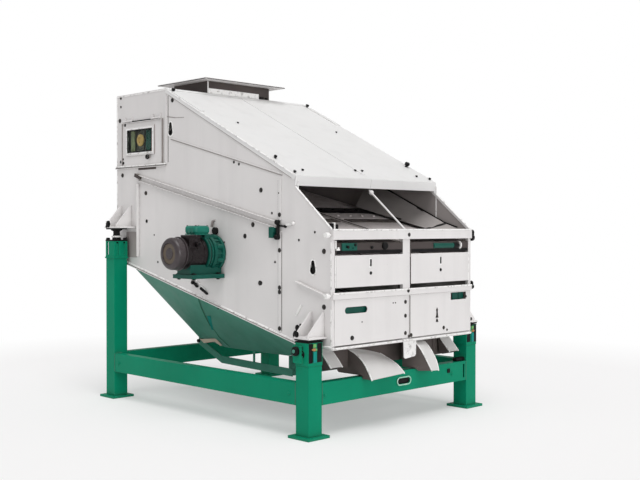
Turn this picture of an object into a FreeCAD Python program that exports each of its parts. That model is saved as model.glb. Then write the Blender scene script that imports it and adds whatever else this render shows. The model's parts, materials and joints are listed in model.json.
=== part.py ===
import FreeCAD, Part
import math
import os
import re
import Sketcher

# A vibrating seed pre-cleaner: a casing with two sieve decks on rubber springs, carried by a
# welded stand. Origin on the floor in the middle of the four legs, +X towards the discharge
# end, -Y towards the side with the service door, +Z up. All sizes are millimetres.

os.makedirs("parts", exist_ok=True)
doc = FreeCAD.newDocument("SeedPreCleaner")
sheet = doc.addObject("Spreadsheet::Sheet", "Sizes")

DRIVING = {
    # stand
    "stand_length": 1950, "stand_width": 1470, "leg_size": 100, "leg_wall": 5,
    "base_size": 160, "base_thick": 15, "anchor_hole": 14, "anchor_inset": 18,
    "beam_low": 175, "beam_height": 120, "beam_width": 60, "beam_wall": 4,
    "inlet_leg_top": 925, "discharge_leg_top": 390, "cap_thick": 8,
    "beam_bolt_inset": 245, "lift_hole_length": 110, "lift_hole_height": 34, "lift_hole_y": 35, "lift_rim": 7,
    # rubber springs and their cups
    "cup_size": 104, "cup_wall": 6, "cup_floor": 8, "cup_slot": 16, "cup_slot_margin": 22,
    "inlet_cup_height": 114, "discharge_cup_height": 125,
    "spring_diameter": 78, "inlet_spring_length": 192, "discharge_spring_length": 134,
    "bracket_plate": 10, "bracket_overhang": 4, "inlet_gusset": 140, "discharge_gusset": 130,
    "bracket_half": 60, "inlet_bracket_run": 130, "gusset_thick": 8, "gusset_inset": 26,
    # casing
    "casing_width": 1220, "wall": 5, "hood_sheet": 3, "front_overhang": 50,
    "casing_length": 2055, "casing_low": 476, "outlet_length": 242, "casing_top": 2015,
    "inlet_box_length": 565, "hood_run": 1210, "hood_drop": 600, "lip_height": 52,
    "lip_setback": 10, "deck_angle": 13.5, "hood_fold": 26, "seam_gap": 2,
    "neck_length": 377, "neck_width": 540, "neck_height": 90, "neck_setback": 3,
    "flange_overhang": 80, "flange_thick": 8, "flange_hole": 12, "flange_hole_inset": 25,
    # discharge front, from the top bar down
    "front_top": 1119, "top_bar_height": 57, "deck_gap": 85, "panel_height": 174,
    "panel_gap": 26, "mid_bar_height": 36, "bottom_bar_height": 14, "bar_projection": 12,
    "bar_depth": 22, "mullion_width": 62, "post_width": 18, "panel_thick": 4,
    "panel_reveal": 1,
    # sieve decks
    "cassette_length": 1760, "screen_length": 1440, "cassette_height": 56, "frame_bar": 28,
    "bar_wall": 3, "bar_overrun": 40, "bar_front": 13,
    "cross_bars": 4, "sieve_thick": 2, "deck_seat": 8, "lower_deck_seat": 12,
    "side_gap": 4, "slide_gap": 0.4, "rail_thick": 5, "rail_cover": 22,
    "beam_depth": 48, "centre_beam_width": 40, "beam_head": 60, "ball_diameter": 32, "ball_pitch": 118,
    # service door and feed flap
    "door_back": 70, "door_length": 460, "door_low": 1531, "door_high": 1828,
    "door_thick": 4, "window_length": 282, "window_height": 147, "window_back": 142,
    "window_low": 1627, "hinge_radius": 7, "flap_shaft": 28, "flap_drop": 165,
    "flap_back": 275, "flap_height": 1705, "flap_thick": 4, "flap_lip": 26, "shaft_gap": 0.05,
    "hinge_inset": 40, "hinge_leaf": 60, "hinge_lug": 19.5, "hinge_play": 0.5,
    "bearing_width": 70, "bearing_thick": 6, "bush_wall": 10, "bush_collar": 16, "bush_length": 12,
    # vibrating motors
    "motor_x": 26, "motor_height": 975, "tube_drop": 22, "flange_diameter": 218, "mount_depth": 118,
    "stator_length": 150, "cap_length": 72, "stator_diameter": 186, "motor_wall": 8,
    "rotor_shaft": 36, "nose_length": 22, "weight_radius": 66, "weight_thick": 22, "cradle_width": 190,
    "cradle_length": 240, "cradle_thick": 24, "cradle_drop": 124, "lid_size": 108,
    "lid_thick": 56, "lid_out": 131, "lid_rise": 109, "box_width": 84, "box_depth": 80, "box_rise": 14,
    "seat_gap": 0.5, "box_out": 71, "lid_neck": 44, "cradle_bolt": 80, "cradle_bolt_inset": 30,
    # dust hopper and spouts
    "hopper_wall": 3, "hopper_front_gap": 24, "hopper_length": 1620, "hopper_crease": 900,
    "hopper_rim_z": 353, "hopper_rim_front": 408, "hopper_rim_length": 603,
    "hopper_tail_length": 332, "hopper_tail_rise": 37, "hopper_half_width": 300,
    "hopper_tail_half": 260, "rail_width": 45,
    "spout_wall": 3, "spout_collar": 6, "spout_reach": 36, "beam_clearance": 8, "mouth_clearance": 10,
    "spout_low": 276, "small_spout_low": 350, "small_spout_back": 140, "small_spout_length": 83,
    "product_y": 324, "product_width": 271, "product_back": 9, "product_low_back": 83, "product_throat": 116,
    "fines_y": 120, "fines_width": 140, "fines_back": 135, "fines_throat": 30, "small_spout_inset": 50,
    "small_spout_width": 85,
    "cross_tube": 56, "cross_tube_wall": 4, "tube_setback": 574, "tube_z": 809, "sight_hole": 24,
    "edge_fold": 13, "pan_depth": 46, "pan_drop": 74, "pan_front_z": 230,
    # flanges, ledges and strips on the walls
    "seam_setback": 265, "seam_length": 1400, "seam_z": 1476, "seam_height": 38, "seam_width": 20,
    "seam_lean": 0.6, "trim_thick": 4, "upright_width": 30, "upright_depth": 24, "upright_low": 938,
    "upright_height": 480, "strip_setback": 424, "strip_width": 26, "strip_low": 540, "strip_top": 1400,
    "door_ledge": 16, "groove_setback": 50, "groove_z": 1693, "groove_length": 1080, "groove_height": 9,
    "groove_lean": 0.9, "ledge_setback": 264, "ledge_length": 236, "ledge_rise": 92, "ledge_angle": 16,
    "hand_hole_width": 179, "hand_hole_height": 36, "hand_hole_y": 514, "hand_hole_low": 660,
    "slot_width": 150, "slot_height": 44, "slot_y": 409, "slot_low": 690,
}

DERIVED = {
    "leg_x": "stand_length / 2 - leg_size / 2",
    "leg_y": "stand_width / 2 - leg_size / 2",
    "anchor_reach": "base_size / 2 - anchor_inset",
    "inlet_shelf": "inlet_leg_top + cup_floor + inlet_spring_length",
    "discharge_shelf": "discharge_leg_top + cup_floor + discharge_spring_length",
    "half_width": "casing_width / 2",
    "inner_half": "half_width - wall",
    "front_x": "stand_length / 2 + front_overhang",
    "back_x": "front_x - casing_length",
    "corner_x": "front_x - outlet_length",
    "slope": "tan(deck_angle)",
    "back_low": "casing_low + slope * (corner_x - back_x)",
    "ridge_x": "back_x + inlet_box_length",
    "lip_x": "ridge_x + hood_run",
    "lip_z": "casing_top - hood_drop",
    "mouth_x": "lip_x - lip_setback",
    "mouth_z": "lip_z - lip_height",
    "hood_angle": "atan(hood_drop / hood_run)",
    "hood_length": "hood_run / cos(hood_angle)",
    "top_bar_low": "front_top - top_bar_height",
    "panel_top": "top_bar_low - deck_gap",
    "panel_low": "panel_top - panel_height",
    "mid_bar_top": "panel_low - panel_gap",
    "mid_bar_low": "mid_bar_top - mid_bar_height",
    "cover_low": "casing_low + bottom_bar_height",
    "upper_deck_z": "panel_top + deck_seat",
    "lower_deck_z": "panel_low + lower_deck_seat",
    "column_in": "mullion_width / 2 + side_gap",
    "column_out": "inner_half - post_width - side_gap",
    "column_width": "column_out - column_in",
    "deck_rear_x": "front_x - cassette_length * cos(deck_angle)",
    "open_length": "cassette_length - screen_length",
    "door_x": "back_x + door_back",
    "window_x": "back_x + window_back",
    "flap_x": "back_x + flap_back",
    "hinge_y": "-half_width - hinge_radius - 1",
    "hinge_z": "door_high + hinge_radius + 3",
    "neck_x": "ridge_x - neck_setback - neck_length",
    "neck_top": "casing_top + wall + neck_height",
    "motor_end": "mount_depth + stator_length + cap_length",
    "hopper_front": "corner_x - hopper_front_gap",
    "hopper_back": "hopper_front - hopper_length",
    "rim_front_x": "hopper_front - hopper_rim_front",
    "rim_mid_x": "rim_front_x - hopper_rim_length",
    "rim_back_x": "rim_mid_x - hopper_tail_length",
    "tube_x": "front_x - tube_setback",
    "hopper_half": "inner_half - 8",
    "spout_top": "casing_low - spout_collar",
    "over_beam": "beam_low + beam_height + beam_clearance",
    "mouth_back": "stand_length / 2 + mouth_clearance",
    "mouth_front": "front_x + spout_reach",
    "small_spout_x": "front_x - small_spout_back",
    "door_face": "-half_width - 1 - door_thick",
    "lid_low": "motor_height + lid_rise",
}


def fill_sheet():
    """Write the driving numbers and the formulas, each with its name as alias."""
    for row, (name, value) in enumerate(DRIVING.items(), start=1):
        sheet.set("A%d" % row, name)
        sheet.set("B%d" % row, str(value))
        sheet.setAlias("B%d" % row, name)
    for row, (name, formula) in enumerate(DERIVED.items(), start=len(DRIVING) + 1):
        sheet.set("A%d" % row, name)
        sheet.set("B%d" % row, "=" + formula)
        sheet.setAlias("B%d" % row, name)
    doc.recompute()


fill_sheet()
NAMES = set(DRIVING) | set(DERIVED)


class Sizes:
    """The sheet's numbers, read by name."""

    def __getattr__(self, name):
        return float(sheet.get(name))


size = Sizes()
kept = []


def expression(text):
    """Point every sheet name in a formula at the sheet."""
    return re.sub(r"[a-z][a-z_]+", lambda m: "Sizes." + m.group() if m.group() in NAMES else m.group(), text)


def bind(thing, **formulas):
    """Bind properties of an object to formulas."""
    for name, formula in formulas.items():
        thing.setExpression(name, expression(formula))


def place(thing, x, y, z, axis=None, angle=None):
    """Bind an object's position, and its turn about an axis, to formulas."""
    if axis is not None:
        thing.Placement = FreeCAD.Placement(FreeCAD.Vector(), FreeCAD.Rotation(FreeCAD.Vector(*axis), 10))
        thing.setExpression("Placement.Rotation.Angle", expression(angle))
    for letter, formula in zip("xyz", (x, y, z)):
        thing.setExpression("Placement.Base." + letter, expression(formula))
    return thing


def box(length, width, height, x, y, z):
    """A block with its low corner at x, y, z."""
    thing = doc.addObject("Part::Box", "Block")
    bind(thing, Length=length, Width=width, Height=height)
    return place(thing, x, y, z)


TURNS = {"+Z": ((0, 0, 1), "0"), "+X": ((0, 1, 0), "90"), "+Y": ((1, 0, 0), "-90"), "-Y": ((1, 0, 0), "90")}


def rod(radius, height, x, y, z, along="+Z"):
    """A round bar from x, y, z along one axis."""
    thing = doc.addObject("Part::Cylinder", "Round")
    bind(thing, Radius=radius, Height=height)
    axis, angle = TURNS[along]
    return place(thing, x, y, z, axis, angle)


def fuse(pieces):
    """One solid from several."""
    thing = doc.addObject("Part::MultiFuse", "Fusion")
    thing.Shapes = pieces
    return thing


def cut(base, tools):
    """A solid with tools taken out of it."""
    thing = doc.addObject("Part::Cut", "Cut")
    thing.Base = base
    thing.Tool = tools[0] if len(tools) == 1 else fuse(tools)
    return thing


def group(pieces):
    """Separate solids kept together as one sub-part."""
    thing = doc.addObject("Part::Compound", "Set")
    thing.Links = pieces
    return thing


def turned(piece, x, y, z, axis, angle):
    """A piece that is drawn level, then moved and turned about an axis."""
    return place(group([piece]), x, y, z, axis, angle)


def mirrored(base):
    """The same piece on the other side of the machine."""
    thing = doc.addObject("Part::Mirroring", "Mirror")
    thing.Source = base
    thing.Normal = FreeCAD.Vector(0, 1, 0)
    return thing


def keep(thing, label):
    """Name a finished sub-part."""
    thing.Label = label
    kept.append(thing)
    return thing


def shaped(shape, label):
    """A sub-part whose shape is worked out from the sheet's sizes in code."""
    thing = doc.addObject("Part::Feature", "Shaped")
    thing.Shape = shape
    return keep(thing, label)


def draw(sketch, points):
    """A closed outline whose corners are bound to formulas."""
    first = len(sketch.Geometry)
    count = len(points)
    for i in range(count):
        a, b = (2 * math.pi * k / count for k in (i, i + 1))
        start = FreeCAD.Vector(1000 * math.cos(a), 1000 * math.sin(a), 0)
        end = FreeCAD.Vector(1000 * math.cos(b), 1000 * math.sin(b), 0)
        sketch.addGeometry(Part.LineSegment(start, end), False)
    for i in range(count):
        sketch.addConstraint(Sketcher.Constraint("Coincident", first + i, 2, first + (i + 1) % count, 1))
    for i, corner in enumerate(points):
        for kind, formula in zip(("DistanceX", "DistanceY"), corner):
            spot = sketch.addConstraint(Sketcher.Constraint(kind, -1, 1, first + i, 1, 1.0))
            sketch.setExpression("Constraints[%d]" % spot, expression(formula))


PLANES = {"XY": "XY_Plane", "XZ": "XZ_Plane", "YZ": "YZ_Plane"}


def profile(plane, outlines, length, x="0", y="0", z="0"):
    """A drawn outline, with any inner outlines as holes, padded along the plane's + axis."""
    body = doc.addObject("PartDesign::Body", "Body")
    sketch = body.newObject("Sketcher::SketchObject", "Outline")
    origin = [f for f in body.Origin.OriginFeatures if f.Role == PLANES[plane]][0]
    sketch.AttachmentSupport = [(origin, "")]
    sketch.MapMode = "FlatFace"
    for points in outlines:
        draw(sketch, points)
    pad = body.newObject("PartDesign::Pad", "Pad")
    pad.Profile = sketch
    pad.Reversed = plane == "XZ"
    bind(pad, Length=length)
    body.Tip = pad
    return place(body, x, y, z)


def both_sides(make):
    """A piece made at the near side and its mirror image at the far side."""
    near = make()
    return [near, mirrored(make())]


# Stand

def leg(side_x, side_y, top):
    """A square tube post, closed by a cap plate that carries the spring cup."""
    x = "%d * leg_x - leg_size / 2" % side_x
    y = "%d * leg_y - leg_size / 2" % side_y
    tube = box("leg_size", "leg_size", "%s - base_thick" % top, x, y, "base_thick")
    bore = box("leg_size - 2 * leg_wall", "leg_size - 2 * leg_wall", "%s - base_thick - cap_thick" % top,
               x + " + leg_wall", y + " + leg_wall", "base_thick")
    return cut(tube, [bore])


def base_plate(side_x, side_y):
    """A foot plate with two anchor holes, at its outer and its inner corner."""
    x, y = "%d * leg_x" % side_x, "%d * leg_y" % side_y
    plate = box("base_size", "base_size", "base_thick", x + " - base_size / 2", y + " - base_size / 2", "0")
    holes = []
    for end in (1, -1):
        holes.append(rod("anchor_hole / 2", "base_thick + 2", "%s + %d * anchor_reach" % (x, end * side_x),
                         "%s + %d * anchor_reach" % (y, end * side_y), "-1"))
    return cut(plate, holes)


def beam_along_x(y):
    """A hollow beam between an inlet leg and a discharge leg."""
    clear = "stand_length - 2 * leg_size"
    outer = box(clear, "beam_width", "beam_height", "leg_size - stand_length / 2", y, "beam_low")
    bore = box(clear + " + 2", "beam_width - 2 * beam_wall", "beam_height - 2 * beam_wall",
               "leg_size - stand_length / 2 - 1", y + " + beam_wall", "beam_low + beam_wall")
    return cut(outer, [bore])


def beam_along_y(x, lifting):
    """A hollow beam between a near leg and a far leg, with or without the lifting slot."""
    clear = "stand_width - 2 * leg_size"
    outer = box("beam_width", clear, "beam_height", x, "leg_size - stand_width / 2", "beam_low")
    bore = box("beam_width - 2 * beam_wall", clear + " + 2", "beam_height - 2 * beam_wall",
               x + " + beam_wall", "leg_size - stand_width / 2 - 1", "beam_low + beam_wall")
    if not lifting:
        return cut(outer, [bore])
    middle = "beam_low + beam_height / 2"
    straight = "lift_hole_length - lift_hole_height"
    slot = [box("beam_width + 2", straight, "lift_hole_height", x + " - 1",
                "lift_hole_y - (%s) / 2" % straight, middle + " - lift_hole_height / 2")]
    for end in (-1, 1):
        slot.append(rod("lift_hole_height / 2", "beam_width + 2", x + " - 1",
                        "lift_hole_y + %d * (%s) / 2" % (end, straight), middle, "+X"))
    slot.append(box("beam_wall + 2", "14", "beam_height - 36", "stand_length / 2 - beam_wall - 1",
                    "stand_width / 2 - leg_size - 32", "beam_low + 18"))
    return cut(outer, [bore] + slot)


def lifting_rim():
    """The flat welded rim around the lifting slot."""
    middle = "beam_low + beam_height / 2"
    straight = "lift_hole_length - lift_hole_height"
    layers = []
    for extra, thick, start in (("lift_rim", "4", "0"), ("0", "6", "-1")):
        layer = [box(thick, straight, "lift_hole_height + 2 * %s" % extra, "stand_length / 2 + " + start,
                     "lift_hole_y - (%s) / 2" % straight, middle + " - lift_hole_height / 2 - " + extra)]
        for end in (-1, 1):
            layer.append(rod("lift_hole_height / 2 + " + extra, thick, "stand_length / 2 + " + start,
                             "lift_hole_y + %d * (%s) / 2" % (end, straight), middle, "+X"))
        layers.append(fuse(layer))
    return cut(layers[0], [layers[1]])


def spring_cup(side_x, side_y, low, height):
    """A square cup whose slots show its rubber spring: in two faces, or in four on a tall leg."""
    x, y = "%d * leg_x" % side_x, "%d * leg_y" % side_y
    outer = box("cup_size", "cup_size", height, x + " - cup_size / 2", y + " - cup_size / 2", low)
    room = "cup_size - 2 * cup_wall"
    tools = [box(room, room, height, "%s - (%s) / 2" % (x, room), "%s - (%s) / 2" % (y, room),
                 low + " + cup_floor")]
    slot_low = low + " + cup_slot_margin"
    slot_height = height + " - cup_slot_margin - cup_wall"
    for shift in ("-cup_size / 4", "cup_size / 4"):
        tools.append(box("cup_size + 2", "cup_slot", slot_height, x + " - cup_size / 2 - 1",
                         "%s + %s - cup_slot / 2" % (y, shift), slot_low))
    if side_x < 0:
        tools.append(box("cup_slot", "cup_size + 2", slot_height, x + " - cup_size / 4 - cup_slot / 2",
                         y + " - cup_size / 2 - 1", slot_low))
    return cut(outer, tools)


def rubber_spring(side_x, side_y, low, length):
    """A rubber buffer with a waist, bonded between two steel washers."""
    x, y = "%d * leg_x" % side_x, "%d * leg_y" % side_y
    body = rod("spring_diameter / 2 - 5", length, x, y, low)
    ends = [rod("spring_diameter / 2", "14", x, y, low),
            rod("spring_diameter / 2", "14", x, y, "%s + %s - 14" % (low, length)),
            rod("spring_diameter / 2", "20", x, y, "%s + %s / 2 - 10" % (low, length))]
    return fuse([body] + ends)


SIDES = {"near": -1, "far": 1}
for side, sign in SIDES.items():
    keep(leg(-1, sign, "inlet_leg_top"), "leg_inlet_" + side)
    keep(leg(1, sign, "discharge_leg_top"), "leg_discharge_" + side)
keep(group([base_plate(i, j) for i in (-1, 1) for j in (-1, 1)]), "base_plates")
keep(group([beam_along_x("-stand_width / 2"), beam_along_x("stand_width / 2 - beam_width")]), "side_beams")
keep(beam_along_y("-stand_length / 2", False), "end_beam_inlet")
keep(group([beam_along_y("stand_length / 2 - beam_width", True), lifting_rim()]), "end_beam_discharge")
cups = []
for sign in (-1, 1):
    cups.append(spring_cup(-1, sign, "inlet_leg_top", "inlet_cup_height"))
    cups.append(spring_cup(1, sign, "discharge_leg_top", "discharge_cup_height"))
keep(group(cups), "spring_cups")
keep(group([rubber_spring(-1, sign, "inlet_leg_top + cup_floor", "inlet_spring_length")
            for sign in (-1, 1)]), "springs_inlet")
keep(group([rubber_spring(1, sign, "discharge_leg_top + cup_floor", "discharge_spring_length")
            for sign in (-1, 1)]), "springs_discharge")

# Casing

SIDE_OUTLINE = [("back_x", "back_low"), ("corner_x", "casing_low"), ("front_x", "casing_low"),
                ("front_x", "front_top"), ("mouth_x", "mouth_z - hood_sheet"), ("lip_x", "lip_z"),
                ("ridge_x", "casing_top"), ("back_x", "casing_top")]


def pear_hole(x, z, radius, neck, rise):
    """A pear-shaped access hole through a side wall: a round hole with a narrower one above it."""
    start = "-half_width - 1"
    deep = "wall + 2"
    return [rod(radius, deep, x, start, z, "+Y"), rod(neck, deep, x, start, "%s + %s" % (z, rise), "+Y"),
            box("2 * %s" % neck, deep, rise, "%s - %s" % (x, neck), start, z)]


def side_wall(with_door):
    """One side sheet with its access holes, and on the near side the door opening."""
    sheet_metal = profile("XZ", [SIDE_OUTLINE], "wall", y="-half_width")
    tools = pear_hole("front_x - 145", "895", "24", "15", "42")
    tools += pear_hole("ridge_x + 46", "1735", "17", "8", "50")
    tools.append(rod("sight_hole / 2", "wall + 2", "tube_x", "-half_width - 1", "tube_z", "+Y"))
    if with_door:
        tools.append(box("door_length - 60", "wall + 2", "door_high - door_low - 60", "door_x + 30",
                         "-half_width - 1", "door_low + 30"))
    return cut(sheet_metal, tools)


keep(side_wall(True), "side_wall_near")
keep(mirrored(side_wall(False)), "side_wall_far")
keep(box("wall", "2 * inner_half", "casing_top - back_low", "back_x", "-inner_half", "back_low"), "back_wall")

roof = box("inlet_box_length", "casing_width", "wall", "back_x", "-half_width", "casing_top")
roof_hole = box("neck_length - 2 * wall", "neck_width - 2 * wall", "wall + 2", "neck_x + wall",
                "wall - neck_width / 2", "casing_top - 1")
keep(cut(roof, [roof_hole]), "roof_plate")


def inlet_spout():
    """The inlet neck on the roof with its wide bolting flange."""
    neck = box("neck_length", "neck_width", "neck_height", "neck_x", "-neck_width / 2", "casing_top + wall")
    flange = box("neck_length + 2 * flange_overhang", "neck_width + 2 * flange_overhang", "flange_thick",
                 "neck_x - flange_overhang", "-neck_width / 2 - flange_overhang", "neck_top - flange_thick")
    bore = box("neck_length - 2 * wall", "neck_width - 2 * wall", "neck_height + 2", "neck_x + wall",
               "wall - neck_width / 2", "casing_top + wall - 1")
    tools = [bore]
    for i in (-1, 1):
        for j in (-1, 1):
            x = "neck_x + neck_length / 2 + %d * (neck_length / 2 + flange_overhang - flange_hole_inset)" % i
            y = "%d * (neck_width / 2 + flange_overhang - flange_hole_inset)" % j
            tools.append(rod("flange_hole / 2", "flange_thick + 2", x, y, "neck_top - flange_thick - 1"))
    return cut(fuse([neck, flange]), tools)


keep(inlet_spout(), "inlet_spout")


def hood_panel():
    """Half of the sloping hood: a sheet with a folded outer edge and a folded front lip."""
    width = "half_width + hood_sheet - seam_gap / 2"
    sheet_metal = box("hood_length", width, "hood_sheet", "0", "0", "0")
    fold = box("hood_length", "hood_sheet", "hood_fold", "0", "0", "-hood_fold")
    panel = fuse([sheet_metal, fold])
    place(panel, "ridge_x", "-half_width - hood_sheet", "casing_top", (0, 1, 0), "hood_angle")
    run = [("lip_x", "lip_z"), ("lip_x", "lip_z - hood_sheet"), ("mouth_x", "mouth_z - hood_sheet"),
           ("mouth_x + 8", "mouth_z - hood_sheet"), ("lip_x + 8", "lip_z - 1"),
           ("lip_x + hood_sheet", "lip_z + hood_sheet / 2")]
    lip = profile("XZ", [run], width, y="-half_width - hood_sheet")
    return fuse([panel, lip])


keep(hood_panel(), "hood_panel_near")
keep(mirrored(hood_panel()), "hood_panel_far")


def hood_strip(start, length, y, width, thick):
    """A flat strip lying on the hood, measured down the slope from the ridge."""
    strip = box(length, width, thick, start, "0", "hood_sheet")
    return turned(strip, "ridge_x", y, "casing_top", (0, 1, 0), "hood_angle")


def hood_trim():
    """The ridge strip, the centre seam cover and the two clamp strips at the sides."""
    trim = [hood_strip("0", "34", "-half_width - hood_sheet", "casing_width + 2 * hood_sheet", "3"),
            hood_strip("36", "hood_length - 100", "-14", "28", "3")]
    trim.append(hood_strip("70", "330", "-half_width - hood_sheet", "30", "6"))
    trim.append(hood_strip("70", "330", "half_width + hood_sheet - 30", "30", "6"))
    return group(trim)


keep(hood_trim(), "hood_trim")


def flat_along_deck(x, z, length, width, thick, angle):
    """A flat bar on the outside of the near wall, from x, z down towards the discharge end."""
    bar = box(length, thick, width, "0", "0", "0")
    return place(bar, x, "-half_width - " + thick, z, (0, 1, 0), angle)


def joint_flange():
    """The bolted seam between the upper and the lower half of the casing: a channel on the wall."""
    web = box("seam_length", "trim_thick", "seam_height", "0", "-trim_thick", "-seam_height")
    lips = []
    for low in ("-seam_height", "-trim_thick"):
        lips.append(box("seam_length", "seam_width", "trim_thick", "0", "-seam_width", low))
    return place(fuse([web] + lips), "back_x + seam_setback", "-half_width", "seam_z", (0, 1, 0),
                 "deck_angle - seam_lean")


keep(group(both_sides(joint_flange)), "joint_flanges")


def wall_strip(low, high):
    """A piece of the upright seam strip near the discharge end."""
    return box("strip_width", "trim_thick", "%s - (%s)" % (high, low), "front_x - strip_setback",
               "-half_width - trim_thick", low)


def wall_trims():
    """Angles, ledges and seam strips welded to the outside of one side wall."""
    upright_x = "back_x + seam_setback - upright_width"
    upright = fuse([box("upright_width", "trim_thick", "upright_height", upright_x,
                        "-half_width - trim_thick", "upright_low"),
                    box("trim_thick", "upright_depth", "upright_height",
                        upright_x + " + upright_width - trim_thick", "-half_width - upright_depth",
                        "upright_low")])
    seam_run = "front_x - strip_setback - back_x - seam_setback"
    seam_here = "seam_z - tan(deck_angle - seam_lean) * (%s)" % seam_run
    pieces = [upright, wall_strip("strip_low", seam_here + " - 1.4 * seam_height"),
              wall_strip(seam_here + " + 5", "strip_top")]
    pieces.append(box("inlet_box_length", "door_ledge", "5", "back_x", "-half_width - door_ledge",
                      "door_low - 9"))
    pieces.append(box("20", "5", "casing_top - door_low - 40", "ridge_x - 12", "-half_width - 5",
                      "door_low + 2"))
    pieces.append(flat_along_deck("ridge_x + groove_setback", "groove_z", "groove_length", "groove_height",
                                  "5", "deck_angle + groove_lean"))
    ledge = fuse([box("ledge_length", "upright_depth", "5", "0", "-upright_depth", "-5"),
                  box("ledge_length", "trim_thick", "30", "0", "-trim_thick", "-30")])
    pieces.append(place(ledge, "front_x - ledge_setback", "-half_width", "mid_bar_low + ledge_rise",
                        (0, 1, 0), "ledge_angle"))
    return pieces


keep(group(wall_trims() + [mirrored(piece) for piece in wall_trims()]), "wall_trims")


def mouth_edge():
    """The folded edge along one side of the sloping front opening."""
    top = "mouth_z - hood_sheet"
    run = [("front_x", "front_top"), ("mouth_x", top), ("mouth_x - 26", top), ("front_x - 26", "front_top")]
    return profile("XZ", [run], "hood_sheet", y="-inner_half")


# Discharge front

def cross_bar(low, height):
    """A front bar that lies between the posts, and in front of them overlaps the casing."""
    back = box("bar_depth", "2 * inner_half", height, "front_x - bar_depth", "-inner_half", low)
    nose = box("bar_projection", "casing_width", height, "front_x", "-half_width", low)
    room = box("bar_depth + bar_projection - 3", "2 * inner_half - 8", height + " - 8",
               "front_x - bar_depth - 1", "4 - inner_half", low + " + 4")
    return cut(fuse([back, nose]), [room])


keep(cross_bar("top_bar_low", "top_bar_height"), "front_top_bar")
keep(cross_bar("mid_bar_low", "mid_bar_height"), "front_mid_bar")

mullion_parts = [box("bar_depth", "mullion_width", "top_bar_low - mid_bar_top", "front_x - bar_depth",
                     "-mullion_width / 2", "mid_bar_top"),
                 box("bar_depth", "mullion_width", "mid_bar_low - cover_low", "front_x - bar_depth",
                     "-mullion_width / 2", "cover_low")]


def front_posts():
    """The corner posts of the front, the bottom bar and the edges of the sloping opening."""
    pieces = []
    for y in ("-inner_half", "inner_half - post_width"):
        pieces.append(box("bar_depth", "post_width", "top_bar_low - mid_bar_top", "front_x - bar_depth", y,
                          "mid_bar_top"))
        pieces.append(box("bar_depth", "post_width", "mid_bar_low - cover_low", "front_x - bar_depth", y,
                          "cover_low"))
    sill = box("bar_depth", "2 * inner_half", "bottom_bar_height", "front_x - bar_depth", "-inner_half",
               "casing_low")
    lip = box("bar_depth + bar_projection / 2", "casing_width", "6", "front_x - bar_depth", "-half_width",
              "casing_low - 6")
    pieces.append(fuse([sill, lip]))
    return pieces


keep(group(front_posts() + both_sides(mouth_edge)), "front_posts")


COVER_LAP = "6"


def lower_cover(side, hole):
    """A bolted cover below the middle bar, lapping over the post and the mullion beside it."""
    width = "inner_half - post_width - mullion_width / 2 + 2 * " + COVER_LAP
    y = "mullion_width / 2 - %s" % COVER_LAP
    if side < 0:
        y = "-(%s) - (%s)" % (y, width)
    plate = box("panel_thick", width, "mid_bar_low - cover_low - 2", "front_x + 0.1", y, "cover_low + 1")
    return cut(plate, hole)


def hand_hole():
    """The round-ended hole to reach the seed through."""
    radius = "hand_hole_height / 2"
    tools = [box("panel_thick + 2", "hand_hole_width - hand_hole_height", "hand_hole_height", "front_x - 1",
                 "-hand_hole_y + " + radius, "hand_hole_low")]
    for y in ("-hand_hole_y + " + radius, "-hand_hole_y + hand_hole_width - " + radius):
        tools.append(rod(radius, "panel_thick + 2", "front_x - 1", y, "hand_hole_low + " + radius, "+X"))
    return tools


def far_slot():
    """The wide slot in the far cover."""
    return [box("panel_thick + 2", "slot_width", "slot_height", "front_x - 1", "slot_y", "slot_low")]


keep(group([lower_cover(-1, hand_hole()), lower_cover(1, far_slot())]), "lower_covers")

# Sieve decks

FAR_COLUMN = "column_in"
NEAR_COLUMN = "-column_out"
COLUMNS = {"near": NEAR_COLUMN, "far": FAR_COLUMN}
BEYOND_FRONT = "front_x + panel_reveal"


def trim_front(thing):
    """Cut a sloping piece off at the upright plane of the front."""
    return cut(thing, [box("400", "3000", "3000", BEYOND_FRONT, "-1500", "0")])


def frame_bars():
    """Each bar of a sieve frame: length, width, low X, low Y, and what its groove leaves at the front."""
    long = "cassette_length"
    overrun = "bar_overrun + bar_front"
    bars = [(long + " + bar_overrun", "frame_bar", "-" + long, y, overrun)
            for y in ("0", "column_width - frame_bar")]
    count = int(size.cross_bars)
    for i in range(count + 1):
        x = "-%s + %d * (screen_length - frame_bar) / %d" % (long, i, count)
        bars.append(("frame_bar", "column_width", x, "0", "0"))
    bars.append(("frame_bar + bar_overrun", "column_width", "-frame_bar", "0", overrun))
    return bars


def cassette_frame(y, deck_z, tray):
    """A sliding sieve frame of grooved bars, open at its front; a lower one has a tray below."""
    pieces = []
    grooves = []
    for length, width, x, low_y, spare in frame_bars():
        pieces.append(box(length, width, "cassette_height", x, low_y, "0"))
        grooves.append(box("%s - (%s) - 2 * bar_wall" % (length, spare), width + " - 2 * bar_wall",
                           "cassette_height - bar_wall + 1", x + " + bar_wall", low_y + " + bar_wall", "-1"))
    if tray:
        pieces.append(box("screen_length", "column_width", "2", "-cassette_length", "0", "0"))
    frame = cut(fuse(pieces), grooves)
    place(frame, "front_x", y, deck_z, (0, 1, 0), "deck_angle")
    return trim_front(frame)


def sieve(y, deck_z):
    """The perforated sheet on top of a sieve frame."""
    plate = box("screen_length", "column_width", "sieve_thick", "-cassette_length", "0", "cassette_height")
    return turned(plate, "front_x", y, deck_z, (0, 1, 0), "deck_angle")


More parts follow.
